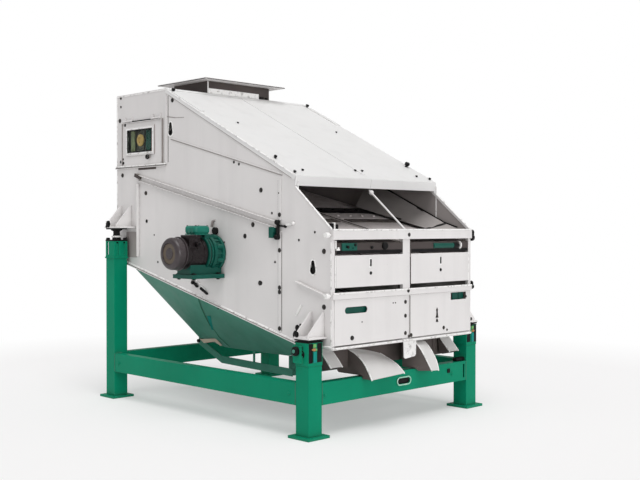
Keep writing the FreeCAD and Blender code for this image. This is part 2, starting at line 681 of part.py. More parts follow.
def panel(y):
    """The upright front of a lower sieve frame, with its grip slot and its bolt hole."""
    plate = box("panel_thick", "column_width - 2", "panel_height", BEYOND_FRONT, y + " + 1", "panel_low")
    middle = "%s + column_width / 2" % y
    tools = [box("panel_thick + 2", "7", "40", "front_x", middle + " - 3.5", "panel_low + 110"),
             rod("6", "panel_thick + 2", "front_x", middle, "panel_low + 73", "+X")]
    return cut(plate, tools)


def cleaning_balls(y, deck_z):
    """Rubber balls that hop below the sieve, loose between the cross bars of the frame."""
    balls = []
    turn = FreeCAD.Rotation(FreeCAD.Vector(0, 1, 0), size.deck_angle)
    corner = FreeCAD.Vector(size.front_x, y, deck_z)
    cells = int(size.cross_bars)
    pitch = (size.screen_length - size.frame_bar) / cells
    across = int((size.column_width - 2 * size.frame_bar) // size.ball_pitch)
    for i in range(cells):
        for j in range(across):
            for k in (0.3, 0.7):
                x = -size.cassette_length + size.frame_bar / 2 + pitch * (i + k)
                side = size.frame_bar + size.ball_pitch * (j + 0.5 + 0.2 * (k - 0.5))
                spot = FreeCAD.Vector(x, side, 2 + size.ball_diameter / 2 + 0.3)
                balls.append(Part.makeSphere(size.ball_diameter / 2, corner + turn.multVec(spot)))
    return Part.makeCompound(balls)


for side, y in COLUMNS.items():
    keep(cassette_frame(y, "upper_deck_z", False), "upper_cassette_" + side)
    keep(sieve(y, "upper_deck_z"), "upper_sieve_" + side)
    keep(cassette_frame(y, "lower_deck_z", True), "lower_cassette_" + side)
    keep(sieve(y, "lower_deck_z"), "lower_sieve_" + side)
    keep(panel(y), "lower_panel_" + side)
    start = size.column_in if side == "far" else -size.column_out
    shaped(cleaning_balls(start, size.lower_deck_z), "cleaning_balls_" + side)


def rail(deck_z):
    """A rail on the near wall that a sieve frame slides on."""
    length = "cassette_length - bar_depth - 6"
    wide = "inner_half - column_out + rail_cover"
    shelf = box(length, wide, "rail_thick", "-cassette_length", "0", "-rail_thick - slide_gap")
    foot = box(length, "rail_thick", "30", "-cassette_length", "0", "-30 - slide_gap")
    bar = fuse([shelf, foot])
    return place(bar, "front_x", "-inner_half", deck_z, (0, 1, 0), "deck_angle")


def centre_beam(deck_z):
    """The beam under the gap between the two columns, with a fin that guides the frames."""
    length = "cassette_length - bar_depth - 24"
    wide = "2 * (column_in + rail_cover)"
    shelf = box(length, wide, "rail_thick", "-cassette_length", "-(%s) / 2" % wide, "-rail_thick - slide_gap")
    depth = box(length, "centre_beam_width", "beam_depth", "-cassette_length", "-centre_beam_width / 2",
                "-rail_thick - slide_gap - beam_depth")
    fin = box(length, "centre_beam_width", "cassette_height", "-cassette_length", "-centre_beam_width / 2",
              "-slide_gap")
    head = box("beam_head", "2 * inner_half", "beam_depth + rail_thick", "-cassette_length - beam_head",
               "-inner_half", "-rail_thick - slide_gap - beam_depth")
    return place(fuse([shelf, depth, fin, head]), "front_x", "0", deck_z, (0, 1, 0), "deck_angle")


DECKS = ("upper_deck_z", "lower_deck_z")
rails = []
for deck in DECKS:
    rails.append(rail(deck))
    rails.append(mirrored(rail(deck)))
keep(group(rails), "deck_rails")
keep(group([centre_beam(deck) for deck in DECKS]), "centre_beams")


def cross_tube(x, z):
    """A round tube that ties the two side walls together."""
    outer = rod("cross_tube / 2", "2 * inner_half", x, "-inner_half", z, "+Y")
    bore = rod("cross_tube / 2 - cross_tube_wall", "2 * inner_half + 2", x, "-inner_half - 1", z, "+Y")
    return cut(outer, [bore])


keep(group([cross_tube("motor_x", "motor_height - tube_drop"), cross_tube("tube_x", "tube_z")]), "cross_tubes")


def along_bottom(start_x, length, y, width, low, high):
    """A flat plate along the sloping lower edge of the casing."""
    plate = box(length, width, "%s - (%s)" % (high, low), "0", "0", low)
    return turned(plate, start_x, y, "casing_low + slope * (corner_x - (%s))" % start_x, (0, 1, 0),
                  "deck_angle")


# The two large spouts: low Y, width, their back at the top and at the bottom, and their front at the top.
PRODUCT_SPOUT = ("-product_y", "product_width", "corner_x + product_back", "corner_x - product_low_back",
                 "front_x - product_throat")
FINES_SPOUT = ("fines_y", "fines_width", "front_x - fines_back", "front_x - fines_back",
               "front_x - fines_throat")
# The two small straight spouts: low Y.
SMALL_SPOUTS = ("small_spout_inset - half_width", "half_width - small_spout_inset - small_spout_width")


def floor_plates():
    """The closed parts of the casing's floor and the rails that the hopper is bolted to."""
    rear = along_bottom("back_x + wall", "(hopper_back - back_x - wall) / cos(deck_angle)", "-inner_half",
                        "2 * inner_half", "0", "wall")
    pieces = [rear]
    run = "(corner_x - hopper_back) / cos(deck_angle)"
    for y in ("-inner_half", "inner_half - rail_width"):
        pieces.append(along_bottom("hopper_back", run, y, "rail_width", "0", "wall"))
    edge = "(corner_x - back_x) / cos(deck_angle)"
    for y in ("-half_width - edge_fold", "half_width"):
        pieces.append(along_bottom("back_x", edge, y, "edge_fold", "0", "6"))
    deep = "front_x - bar_depth - corner_x"
    front = box(deep, "2 * inner_half", "wall", "corner_x", "-inner_half", "casing_low")
    tools = []
    for y, width, back, low_back, throat in (PRODUCT_SPOUT, FINES_SPOUT):
        tools.append(floor_hole(y, width, back, "%s - 2 * spout_wall - (%s)" % (throat, back)))
    for y in SMALL_SPOUTS:
        tools.append(floor_hole(y, "small_spout_width", "small_spout_x", "small_spout_length - 2 * spout_wall"))
    return pieces + [cut(front, tools)]


def floor_hole(y, width, back, length):
    """The hole in the front floor over a spout."""
    return box("min(%s; front_x - bar_depth - 1 - spout_wall - (%s))" % (length, back),
               width + " - 2 * spout_wall", "wall + 2", back + " + spout_wall", y + " + spout_wall",
               "casing_low - 1")


def spout(y, width, back, low_back, throat):
    """A closed chute over the stand's beam, its mouth opening down in front of the beam."""
    outer = [(back, "spout_top"), (low_back, "over_beam"), ("mouth_back", "over_beam"),
             ("mouth_back", "spout_low"), ("mouth_front", "spout_low"), (throat, "spout_top")]
    floor = "over_beam + spout_wall"
    inner = [(back + " + spout_wall", "spout_top + 1"), (low_back + " + 2 * spout_wall", floor),
             ("mouth_back + spout_wall", floor), ("mouth_back + spout_wall", "spout_low - 1"),
             ("mouth_front - spout_wall", "spout_low - 1"), (throat + " - spout_wall", "spout_top + 1")]
    shell = profile("XZ", [outer], width, y=y)
    room = profile("XZ", [inner], width + " - 2 * spout_wall", y=y + " + spout_wall")
    return cut(shell, [room])


def small_spout(y):
    """A short straight spout, open at the bottom."""
    shell = box("small_spout_length", "small_spout_width", "spout_top - small_spout_low", "small_spout_x", y,
                "small_spout_low")
    room = box("small_spout_length - 2 * spout_wall", "small_spout_width - 2 * spout_wall", "casing_low",
               "small_spout_x + spout_wall", y + " + spout_wall", "small_spout_low - 1")
    return cut(shell, [room])


def spout_collar(y, width, start, length):
    """The flat flange that fixes a spout under the floor."""
    lap = "spout_collar"
    plate = box("%s + 2 * %s" % (length, lap), "%s + 2 * %s" % (width, lap), "spout_collar",
                "%s - %s" % (start, lap), "%s - %s" % (y, lap), "spout_top")
    way = box("%s - 2 * spout_wall" % length, "%s - 2 * spout_wall" % width, "spout_collar + 2",
              start + " + spout_wall", y + " + spout_wall", "spout_top - 1")
    return cut(plate, [way])


def flanged_spout(place_and_size):
    """A large spout with its flange."""
    y, width, back, low_back, throat = place_and_size
    return fuse([spout(*place_and_size), spout_collar(y, width, back, "%s - (%s)" % (throat, back))])


keep(group(floor_plates()), "floor_plates")
keep(flanged_spout(PRODUCT_SPOUT), "product_spout")
side_spouts = [flanged_spout(FINES_SPOUT)]
for y in SMALL_SPOUTS:
    collar = spout_collar(y, "small_spout_width", "small_spout_x", "small_spout_length")
    side_spouts.append(fuse([small_spout(y), collar]))
side_spouts.append(box("4", "98", "90", "front_x - 16", "0", "spout_top - 90"))
keep(group(side_spouts), "side_spouts")


def deck_line(x):
    """Height of the casing's sloping lower edge."""
    return size.casing_low + size.slope * (size.corner_x - x)


def hopper_solid(gap, over):
    """The dust hopper's inside or outside as one solid, from the casing's edge to its rim."""
    half = size.hopper_half - gap
    crease_x = size.hopper_front - size.hopper_crease
    tops = [(size.hopper_back + gap, half), (crease_x, half), (size.hopper_front - gap, half)]
    rims = [(size.rim_back_x + gap, size.hopper_tail_half - gap, size.hopper_rim_z + size.hopper_tail_rise),
            (size.rim_mid_x, size.hopper_half_width - gap, size.hopper_rim_z),
            (size.rim_front_x - gap, size.hopper_half_width - gap, size.hopper_rim_z)]
    near_top = [FreeCAD.Vector(x, -y, deck_line(x) + over) for x, y in tops]
    far_top = [FreeCAD.Vector(x, y, deck_line(x) + over) for x, y in tops]
    near_rim = [FreeCAD.Vector(x, -y, z - over) for x, y, z in rims]
    far_rim = [FreeCAD.Vector(x, y, z - over) for x, y, z in rims]

    def facet(*corners):
        return Part.Face(Part.makePolygon(list(corners) + [corners[0]]))

    faces = [facet(*(near_top + far_top[::-1]))]
    for side_top, side_rim in ((near_top, near_rim), (far_top, far_rim)):
        for i in (0, 1):
            faces.append(facet(side_top[i], side_top[i + 1], side_rim[i + 1]))
            faces.append(facet(side_top[i], side_rim[i + 1], side_rim[i]))
    for i in (0, 1):
        faces.append(facet(near_rim[i], near_rim[i + 1], far_rim[i + 1], far_rim[i]))
    faces.append(facet(near_top[0], far_top[0], far_rim[0], near_rim[0]))
    faces.append(facet(near_top[2], far_top[2], far_rim[2], near_rim[2]))
    shell = Part.makeShell(faces)
    shell.sewShape()
    solid = Part.Solid(shell)
    if solid.Volume < 0:
        solid.reverse()
    return solid


def bar_between(start, end, thick, height):
    """An upright flat bar between two points, its section square to X."""
    wires = []
    for x, y, z in (start, end):
        corners = [(x, y, z), (x, y + thick, z), (x, y + thick, z + height), (x, y, z + height)]
        corners = [FreeCAD.Vector(*c) for c in corners]
        wires.append(Part.makePolygon(corners + corners[:1]))
    return Part.makeLoft(wires, True, True)


shaped(hopper_solid(0, 0).cut(hopper_solid(size.hopper_wall, 1)), "hopper")


def outlet_frame():
    """The open frame below the hopper's rim that a duct or a bagging spout is bolted to."""
    band, thick = size.pan_depth, 6
    top = size.hopper_rim_z - size.pan_drop
    tail = (size.rim_back_x, size.hopper_tail_half, size.hopper_rim_z + size.hopper_tail_rise - band - 1)
    middle = (size.rim_mid_x - 40, size.hopper_half_width, top - band + 14)
    front = (size.rim_front_x + 30, size.hopper_half_width, size.pan_front_z)
    pieces = []
    for side in (-1, 1):
        shift = 0 if side < 0 else -thick
        run = [(x, side * y + shift, z) for x, y, z in (tail, middle, front)]
        pieces.append(bar_between(run[0], run[1], thick, band))
        pieces.append(bar_between(run[1], run[2], thick, band))
        post_z = size.pan_front_z + band / 2
        post = Part.makeBox(16, thick, size.hopper_rim_z - post_z,
                            FreeCAD.Vector(20, side * size.hopper_half_width + shift, post_z))
        pieces.append(post)
    end = Part.makeBox(6, 2 * size.hopper_half_width, size.hopper_rim_z - size.pan_front_z,
                       FreeCAD.Vector(size.rim_front_x, -size.hopper_half_width, size.pan_front_z))
    tail_end = Part.makeBox(6, 2 * size.hopper_tail_half, band,
                            FreeCAD.Vector(tail[0], -tail[1], tail[2]))
    frame = pieces[0].multiFuse(pieces[1:] + [end, tail_end])
    return frame.removeSplitter()


shaped(outlet_frame(), "outlet_frame")


def spring_bracket(shelf_z, low_x, high_x, gusset_xs, rise):
    """A shelf on the near wall that rests on a rubber spring, with two gussets above it."""
    reach = "stand_width / 2 - leg_size / 2 + cup_size / 2 + bracket_overhang - half_width"
    outer_y = "-half_width - (%s)" % reach
    shelf = box("%s - (%s)" % (high_x, low_x), reach, "bracket_plate", low_x, outer_y, shelf_z)
    base = shelf_z + " + bracket_plate"
    top = "%s + %s" % (base, rise)
    pieces = [shelf]
    for x in gusset_xs:
        run = [("-half_width", base), ("-half_width", top), ("-half_width - 12", top),
               (outer_y + " + 8", base + " + 12"), (outer_y + " + 8", base)]
        pieces.append(profile("YZ", [run], "gusset_thick", x=x))
    return fuse(pieces)


def inlet_bracket():
    """The bracket on a tall inlet leg."""
    return spring_bracket("inlet_shelf", "-leg_x - cup_size / 2 - 6", "-leg_x + inlet_bracket_run",
                          ("-leg_x - cup_size / 2 - 6", "-leg_x + bracket_half"), "inlet_gusset")


def discharge_bracket():
    """The bracket on a short discharge leg."""
    return spring_bracket("discharge_shelf", "leg_x - bracket_half", "leg_x + bracket_half",
                          ("leg_x - bracket_half", "leg_x + bracket_half - gusset_inset"), "discharge_gusset")


keep(group(both_sides(inlet_bracket) + both_sides(discharge_bracket)), "spring_brackets")

# Service door, feed flap and their bearings

PANE_LAP = "7"
# Low X of the two hinge leaves on the door.
HINGES = ("door_x + hinge_inset", "door_x + door_length - hinge_inset - hinge_leaf")


def service_door():
    """The door beside the inlet, with a window opening, a raised window frame and hinge knuckles."""
    y = "door_face"
    plate = box("door_length", "door_thick", "door_high - door_low", "door_x", y, "door_low")
    ring = box("window_length + 44", "8", "window_height + 44", "window_x - 22", y + " - 8", "window_low - 22")
    edges = []
    for z in ("door_low", "door_high - 4"):
        edges.append(box("door_length", "8", "4", "door_x", y + " - 8", z))
    for x in ("door_x", "door_x + door_length - 4"):
        edges.append(box("4", "8", "door_high - door_low", x, y + " - 8", "door_low"))
    hole = box("window_length", "20", "window_height", "window_x", y + " - 10", "window_low")
    seat = box("window_length + 2 * " + PANE_LAP, "9", "window_height + 2 * " + PANE_LAP,
               "window_x - " + PANE_LAP, y + " - 9", "window_low - " + PANE_LAP)
    knuckles = []
    for x in HINGES:
        leaf = box("hinge_leaf", "door_thick", "hinge_z - door_high + 4", x, y, "door_high - 4")
        knuckles += [leaf, rod("hinge_radius", "hinge_leaf", x, "hinge_y", "hinge_z", "+X")]
    pin_room = rod("4 + shaft_gap", "door_length + 2", "door_x - 1", "hinge_y", "hinge_z", "+X")
    return cut(fuse([plate, ring] + edges + knuckles), [hole, seat, pin_room])


def door_hinges():
    """The hinge pin of the door and the fixed knuckles that hold it on the wall."""
    pieces = []
    for x in HINGES:
        pin = rod("4", "hinge_leaf + 2 * (hinge_lug + hinge_play)", x + " - hinge_lug - hinge_play", "hinge_y",
                  "hinge_z", "+X")
        ends = []
        for end in (x + " - hinge_lug - hinge_play", x + " + hinge_leaf + hinge_play"):
            lug = rod("hinge_radius", "hinge_lug", end, "hinge_y", "hinge_z", "+X")
            foot = box("hinge_lug", "-half_width - hinge_y", "26", end, "hinge_y", "hinge_z")
            ends += [lug, foot]
        pieces.append(fuse([pin] + ends))
    return pieces


def door_knob():
    """The turn knob that holds the door shut."""
    y = "door_face"
    return fuse([rod("9", "14", "door_x + 315", y, "door_low + 58", "-Y"),
                 rod("14", "10", "door_x + 315", y + " - 14", "door_low + 58", "-Y")])


keep(group([service_door(), door_knob()]), "service_door")
keep(box("window_length + 2 * %s - 1" % PANE_LAP, "4", "window_height + 2 * %s - 1" % PANE_LAP,
         "window_x - %s + 0.5" % PANE_LAP, "door_face - 4", "window_low - %s + 0.5" % PANE_LAP),
     "window_pane")
keep(group(door_hinges()), "door_hinges")


def feed_flap():
    """The flap that spreads the seed over the width: a plate hanging from its shaft."""
    shaft = rod("flap_shaft / 2", "2 * inner_half - 8", "flap_x", "4 - inner_half", "flap_height", "+Y")
    plate = box("flap_thick", "2 * inner_half - 40", "flap_drop", "flap_x - flap_thick / 2",
                "20 - inner_half", "flap_height - flap_drop")
    lip = box("flap_lip", "2 * inner_half - 40", "4", "flap_x - flap_thick / 2", "20 - inner_half",
              "flap_height - flap_drop")
    return fuse([shaft, plate, lip])


def flap_bearing():
    """An upright bar inside the near wall with the bush that carries the flap's shaft."""
    bar = box("bearing_width", "bearing_thick", "door_high - door_low + 20", "flap_x - bearing_width / 2",
              "-inner_half", "door_low - 10")
    hole = rod("flap_shaft / 2 + bush_wall", "bearing_thick + 2", "flap_x", "-inner_half - 1",
               "flap_height", "+Y")
    return cut(bar, [hole])


def flap_bush():
    """The bush of the flap's shaft."""
    outer = rod("flap_shaft / 2 + bush_wall", "bush_length", "flap_x", "-inner_half", "flap_height", "+Y")
    collar = rod("flap_shaft / 2 + bush_collar", "bush_length - bearing_thick - 1", "flap_x",
                 "bearing_thick - inner_half", "flap_height", "+Y")
    bore = rod("flap_shaft / 2 + shaft_gap", "bush_length + 4", "flap_x", "-inner_half - 2",
               "flap_height", "+Y")
    return cut(fuse([outer, collar]), [bore])


keep(feed_flap(), "feed_flap")
keep(group(both_sides(flap_bearing) + both_sides(flap_bush)), "flap_bearings")

# Vibrating motors, one on each side wall

STATOR_OUT = "mount_depth"
CAP_OUT = "mount_depth + stator_length"


def motor_rod(radius, length, out):
    """A round piece on the motor's axis, starting a distance out from the near wall."""
    return rod(radius, length, "motor_x", "-half_width - (%s)" % out, "motor_height", "-Y")


def radial_plates(angles, reach, length, out, thick):
    """Plates through the motor's axis, each turned about it, as ribs."""
    plates = []
    for angle in angles:
        plate = box("2 * (%s)" % reach, length, thick, "-(%s)" % reach, "0", "-%s / 2" % thick)
        plates.append(turned(plate, "motor_x", "-half_width - (%s) - (%s)" % (out, length), "motor_height",
                             (0, 1, 0), str(angle)))
    return plates


def motor_mount():
    """The flanged, ribbed casting on the wall, its neck under the lid and the cradle plate below."""
    flange = motor_rod("flange_diameter / 2", "16", "0")
    drum = motor_rod("stator_diameter / 2 + 7", "mount_depth", "0")
    rim = motor_rod("flange_diameter / 2", "20", "mount_depth - 58")
    ribs = radial_plates((0, 45, 90, 135), "flange_diameter / 2 - 1", "mount_depth - 40", "0", "9")
    bore = motor_rod("stator_diameter / 2 - motor_wall", "mount_depth + 2", "-1")
    cradle = box("cradle_width", "cradle_length", "cradle_thick", "motor_x - cradle_width / 2",
                 "-half_width - cradle_length", "motor_height - cradle_drop - cradle_thick")
    saddle = box("cradle_width - 60", "cradle_length - mount_depth - 10", "cradle_drop - 45",
                 "motor_x - cradle_width / 2 + 30", "-half_width - cradle_length + 10",
                 "motor_height - cradle_drop")
    web = box("cradle_width - 60", "mount_depth", "cradle_drop - 60", "motor_x - cradle_width / 2 + 30",
              "-half_width - mount_depth", "motor_height - cradle_drop")
    seat = motor_rod("stator_diameter / 2 + seat_gap", "cradle_length", "mount_depth")
    neck = box("lid_neck", "lid_neck", "lid_rise - stator_diameter / 2", "motor_x - lid_neck / 2",
               "-half_width - mount_depth", "motor_height + stator_diameter / 2")
    base = cut(fuse([cradle, saddle]), [seat])
    return cut(fuse([flange, drum, rim, base, web, neck] + ribs), [bore])


def motor_housing():
    """The stator shell with its two bearing shields."""
    shell = motor_rod("stator_diameter / 2", "stator_length", STATOR_OUT)
    inside = motor_rod("stator_diameter / 2 - motor_wall", "stator_length - 24", STATOR_OUT + " + 12")
    shaft_room = motor_rod("rotor_shaft / 2 + shaft_gap", "stator_length + 2", STATOR_OUT + " - 1")
    return cut(shell, [inside, shaft_room])


def motor_cap():
    """The domed cap over the outer weights."""
    wide = "stator_diameter / 2 + 2"
    ring = motor_rod("stator_diameter / 2 + 7", "9", CAP_OUT)
    tube = motor_rod(wide, "cap_length - nose_length", CAP_OUT)
    nose = doc.addObject("Part::Cone", "Nose")
    bind(nose, Radius1=wide, Radius2=wide + " - nose_length", Height="nose_length")
    place(nose, "motor_x", "-half_width - (%s + cap_length - nose_length)" % CAP_OUT, "motor_height",
          (1, 0, 0), "90")
    room = motor_rod("weight_radius + 4", "cap_length - 13", CAP_OUT + " - 1")
    return cut(fuse([ring, tube, nose]), [room])


def rotor():
    """The motor's shaft and core with an eccentric weight at each end."""
    shaft = motor_rod("rotor_shaft / 2", "motor_end - 40", "12")
    core = motor_rod("stator_diameter / 2 - motor_wall - 9", "stator_length - 60", STATOR_OUT + " + 30")
    weights = []
    for out in ("mount_depth - 60", CAP_OUT + " + 26"):
        disc = motor_rod("weight_radius", "weight_thick", out)
        off = box("2 * weight_radius + 2", "weight_thick + 2", "weight_radius + 1",
                  "motor_x - weight_radius - 1", "-half_width - (%s) - weight_thick - 1" % out,
                  "motor_height + 8")
        weights.append(cut(disc, [off]))
    return fuse([shaft, core] + weights)


def terminal_box():
    """The terminal box on the motor: a dark base with its cable gland, and a green lid."""
    low = "motor_height + box_rise"
    base = box("box_width", "box_depth", "lid_rise - box_rise", "motor_x + 4",
               "-half_width - lid_out - lid_size / 2 - box_out", low)
    seat = motor_rod("stator_diameter / 2 + seat_gap", "motor_end", "0")
    lid = box("lid_size", "lid_size", "lid_thick", "motor_x - lid_size / 2",
              "-half_width - lid_out - lid_size / 2", "lid_low")
    gland = rod("14", "26", "motor_x + 4 + box_width - 1", "-half_width - lid_out - box_out", low + " + 40", "+X")
    return [cut(fuse([base, gland]), [seat]), lid]


keep(group(both_sides(motor_mount)), "motor_mounts")
keep(group(both_sides(motor_housing) + both_sides(motor_cap)), "motor_housings")
keep(group(terminal_box() + [mirrored(piece) for piece in terminal_box()]), "terminal_boxes")
keep(rotor(), "rotor_near")
keep(mirrored(rotor()), "rotor_far")

# Fasteners

def hex_bolt(x, y, z, direction, flat, height):
    """A hexagon head with a washer, its back at the point and its head towards the direction."""
    corners = []
    for i in range(7):
        turn = math.radians(60 * i)
        corners.append(FreeCAD.Vector(flat * math.cos(turn), flat * math.sin(turn), 0))
    head = Part.Face(Part.makePolygon(corners)).extrude(FreeCAD.Vector(0, 0, height))
    washer = Part.makeCylinder(1.35 * flat, 0.3 * height)
    bolt = head.fuse(washer)
    turned = FreeCAD.Rotation(FreeCAD.Vector(0, 0, 1), FreeCAD.Vector(*direction))
    bolt.Placement = FreeCAD.Placement(FreeCAD.Vector(x, y, z), turned)
    return bolt


# Bolts on each side wall: distance back from the front, and height above the casing's lower edge.
WALL_BOLTS = ((644, 669), (715, 602), (60, 224), (60, 524))
# Bolts high on each side wall: distance back from the front, and distance below the casing's top.
TOP_BOLTS = ((1717, 661), (573, 672), (1424, 79), (1990, 535), (2020, 165))
# Bolts on the upright strip of each side wall: height.
STRIP_BOLTS = (560, 765, 790, 1000, 1200)
# Bolts on the front: sideways place, and height.
FRONT_BOLTS = ((10, 1087), (4, 765), (-8, 700), (-8, 620), (-8, 520), (-455, 527), (38, 505), (340, 527))


def front_stand(y, z):
    """How far the front face at a place stands forward of the casing's front."""
    if size.mid_bar_low <= z <= size.mid_bar_top or z >= size.top_bar_low:
        return size.bar_projection
    if abs(y) < size.mullion_width / 2 - float(COVER_LAP):
        return 0
    return size.panel_thick + 0.1


def casing_bolts():
    """Every hexagon bolt head on the casing's sides and front."""
    bolts = []
    strip_x = size.front_x - size.strip_setback + size.strip_width / 2
    for side in (-1, 1):
        out = (0, side, 0)
        spots = [(back, size.casing_low + rise) for back, rise in WALL_BOLTS]
        spots += [(back, size.casing_top - drop) for back, drop in TOP_BOLTS]
        for back, z in spots:
            bolts.append(hex_bolt(size.front_x - back, side * size.half_width, z, out, 10, 8))
        for z in STRIP_BOLTS:
            bolts.append(hex_bolt(strip_x, side * (size.half_width + size.trim_thick), z, out, 9, 8))
        for end in (-1, 1):
            for reach in (size.cradle_bolt_inset, size.cradle_length - size.cradle_bolt_inset + 5):
                bolts.append(hex_bolt(size.motor_x + end * size.cradle_bolt, side * (size.half_width + reach),
                                      size.motor_height - size.cradle_drop, (0, 0, 1), 8, 7))
    for y, z in FRONT_BOLTS:
        bolts.append(hex_bolt(size.front_x + front_stand(y, z), y, z, (1, 0, 0), 8, 6))
    return Part.makeCompound(bolts)


# Knobs and bolts on each half of the hood: distance in front of the ridge, share of the half width,
# radius and height.
HOOD_KNOBS = ((895, 0.94, 14, 26), (1110, 0.05, 8, 9), (1145, 0.82, 8, 9), (1177, 0.97, 9, 12),
              (497, 0.71, 7, 7), (45, 0.97, 12, 20))


def hood_knobs():
    """The clamp knobs and bolts on the hood and at the ends of the front bars."""
    knobs = []
    lean = math.radians(size.hood_angle)
    up = FreeCAD.Vector(math.sin(lean), 0, math.cos(lean))
    for run, y, radius, height in HOOD_KNOBS:
        z = size.casing_top - run * size.hood_drop / size.hood_run
        for side in (-1, 1):
            foot = FreeCAD.Vector(size.ridge_x + run, side * y * size.half_width, z) + up * size.hood_sheet
            stem = Part.makeCylinder(0.6 * radius, height, foot, up)
            cap = Part.makeCylinder(radius, 0.55 * height, foot + up * 0.45 * height, up)
            knobs.append(stem.fuse(cap))
    for z in (size.top_bar_low + 25, size.mid_bar_top - 16):
        for side in (-1, 1):
            start = FreeCAD.Vector(size.front_x - 14, side * size.half_width, z)
            out = FreeCAD.Vector(0, side, 0)
            stem = Part.makeCylinder(7, 30, start, out)
            grip = Part.makeCylinder(15, 24, start + out * 14, out)
            knobs.append(stem.fuse(grip))
    for side in (-1, 1):
        start = FreeCAD.Vector(size.motor_x + 15, side * size.half_width, size.lid_low + 24)
        knobs.append(Part.makeCylinder(22, 16, start, FreeCAD.Vector(0, side, 0)))
    return Part.makeCompound(knobs)


def opening_rod():
    """The thin stay across the sloping opening, with its round nut at the top."""
    top = FreeCAD.Vector(size.mouth_x, 0, size.mouth_z - 14)
    foot = FreeCAD.Vector(size.front_x - 14, 0, size.front_top)
    run = foot - top
    stay = Part.makeCylinder(6, run.Length + 6, top, run)
    nut = Part.makeSphere(15, top + run * 0.06)
    below = Part.makeBox(80, 80, 40, foot + FreeCAD.Vector(-40, -40, -40))
    return stay.fuse(nut).cut(below)


def frame_bolts():
    """The bolts of the stand's beams and spring cups."""
    bolts = []
    middle = size.beam_low + size.beam_height / 2
    for y in (-size.stand_width / 2 + size.leg_size + 20, size.stand_width / 2 - size.beam_bolt_inset):
        bolts.append(hex_bolt(size.stand_length / 2, y, middle - 8, (1, 0, 0), 9, 7))
    cup_out = size.leg_y + size.cup_size / 2
    cup_middle = size.discharge_leg_top + size.discharge_cup_height / 2
    for side in (-1, 1):
        bolts.append(hex_bolt(size.leg_x, side * cup_out, cup_middle, (0, side, 0), 15, 8))
        for x in (-size.leg_x + size.leg_size, size.leg_x - size.leg_size):
            bolts.append(hex_bolt(x, side * size.stand_width / 2, middle, (0, side, 0), 9, 7))
    return Part.makeCompound(bolts)


shaped(casing_bolts(), "casing_bolts")
shaped(hood_knobs(), "hood_knobs")
stay = doc.addObject("Part::Feature", "Stay")
stay.Shape = opening_rod()
keep(group(mullion_parts + [stay]), "front_mullions")
shaped(frame_bolts(), "frame_bolts")

doc.recompute()


def failed():
    """Every object that the recompute left broken."""
    return [o.Label for o in doc.Objects if "Invalid" in o.State or "Error" in o.State]


if failed():
    raise ValueError("broken objects: " + ", ".join(failed()))
for thing in kept:
    shape = thing.Shape
    if shape.isNull() or not shape.isValid():
        raise ValueError("bad shape: " + thing.Label)
    shape.exportStep("parts/%s.step" % thing.Label)
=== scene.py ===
import json
import math

import bpy
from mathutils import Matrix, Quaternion, Vector

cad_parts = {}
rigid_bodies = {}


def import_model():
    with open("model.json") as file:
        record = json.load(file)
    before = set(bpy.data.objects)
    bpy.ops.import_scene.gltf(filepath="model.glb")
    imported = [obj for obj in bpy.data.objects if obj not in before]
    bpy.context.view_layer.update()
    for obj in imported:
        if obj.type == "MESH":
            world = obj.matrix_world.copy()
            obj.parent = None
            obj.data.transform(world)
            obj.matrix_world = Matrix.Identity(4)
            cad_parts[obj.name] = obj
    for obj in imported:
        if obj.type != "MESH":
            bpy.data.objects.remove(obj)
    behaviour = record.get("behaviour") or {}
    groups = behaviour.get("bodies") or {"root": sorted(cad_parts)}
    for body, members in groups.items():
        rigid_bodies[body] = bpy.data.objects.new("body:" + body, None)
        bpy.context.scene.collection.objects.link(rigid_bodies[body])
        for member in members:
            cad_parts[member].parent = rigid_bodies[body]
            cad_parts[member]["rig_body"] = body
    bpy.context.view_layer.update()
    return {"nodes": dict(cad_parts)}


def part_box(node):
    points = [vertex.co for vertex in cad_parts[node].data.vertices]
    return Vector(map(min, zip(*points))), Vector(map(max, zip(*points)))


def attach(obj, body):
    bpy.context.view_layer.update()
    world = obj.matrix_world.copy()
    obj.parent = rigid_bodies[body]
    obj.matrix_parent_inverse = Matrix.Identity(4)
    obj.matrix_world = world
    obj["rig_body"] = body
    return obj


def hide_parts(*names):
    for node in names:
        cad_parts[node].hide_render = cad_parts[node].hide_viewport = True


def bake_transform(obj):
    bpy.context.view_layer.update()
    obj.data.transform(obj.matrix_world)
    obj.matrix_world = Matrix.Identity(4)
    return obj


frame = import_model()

# Looks of a vibrating seed pre-cleaner. All lengths are metres, in the frame of the packed
# model: origin on the floor in the middle of the legs, +X to the discharge end, -Y to the
# side with the service door, +Z up.

MM = 0.001
SIDES = (-1, 1)
SIDE_NAME = {-1: "near", 1: "far"}
OUTWARD = {-1: "-Y", 1: "+Y"}

LOW, HIGH = 0, 1
X, Y, Z = 0, 1, 2


def limit(node, end, axis):
    """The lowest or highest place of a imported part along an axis, to a tenth of a millimetre."""
    return round(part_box(node)[end][axis], 4)


def centre_of(node, axis):
    """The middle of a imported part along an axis."""
    return round((limit(node, LOW, axis) + limit(node, HIGH, axis)) / 2, 4)


# The casing's half width, its front edge, ridge and slopes
HALF_WIDTH = limit("side_wall_far", HIGH, Y)
FRONT_X, FRONT_TOP = limit("side_wall_far", HIGH, X), limit("front_top_bar", HIGH, Z)
RIDGE_X, CASING_TOP = limit("roof_plate", HIGH, X), limit("side_wall_far", HIGH, Z)
HOOD_ANGLE = math.atan2(0.600, 1.210)
DECK_ANGLE = math.radians(13.5)

# The motors' axis and their terminal boxes, and the rubber springs over the legs
MOTOR_X, MOTOR_Z = 0.026, 0.975
BOX_Y, BOX_TOP = 0.741, 1.0845
SPRING_Y = centre_of("leg_inlet_far", Y)

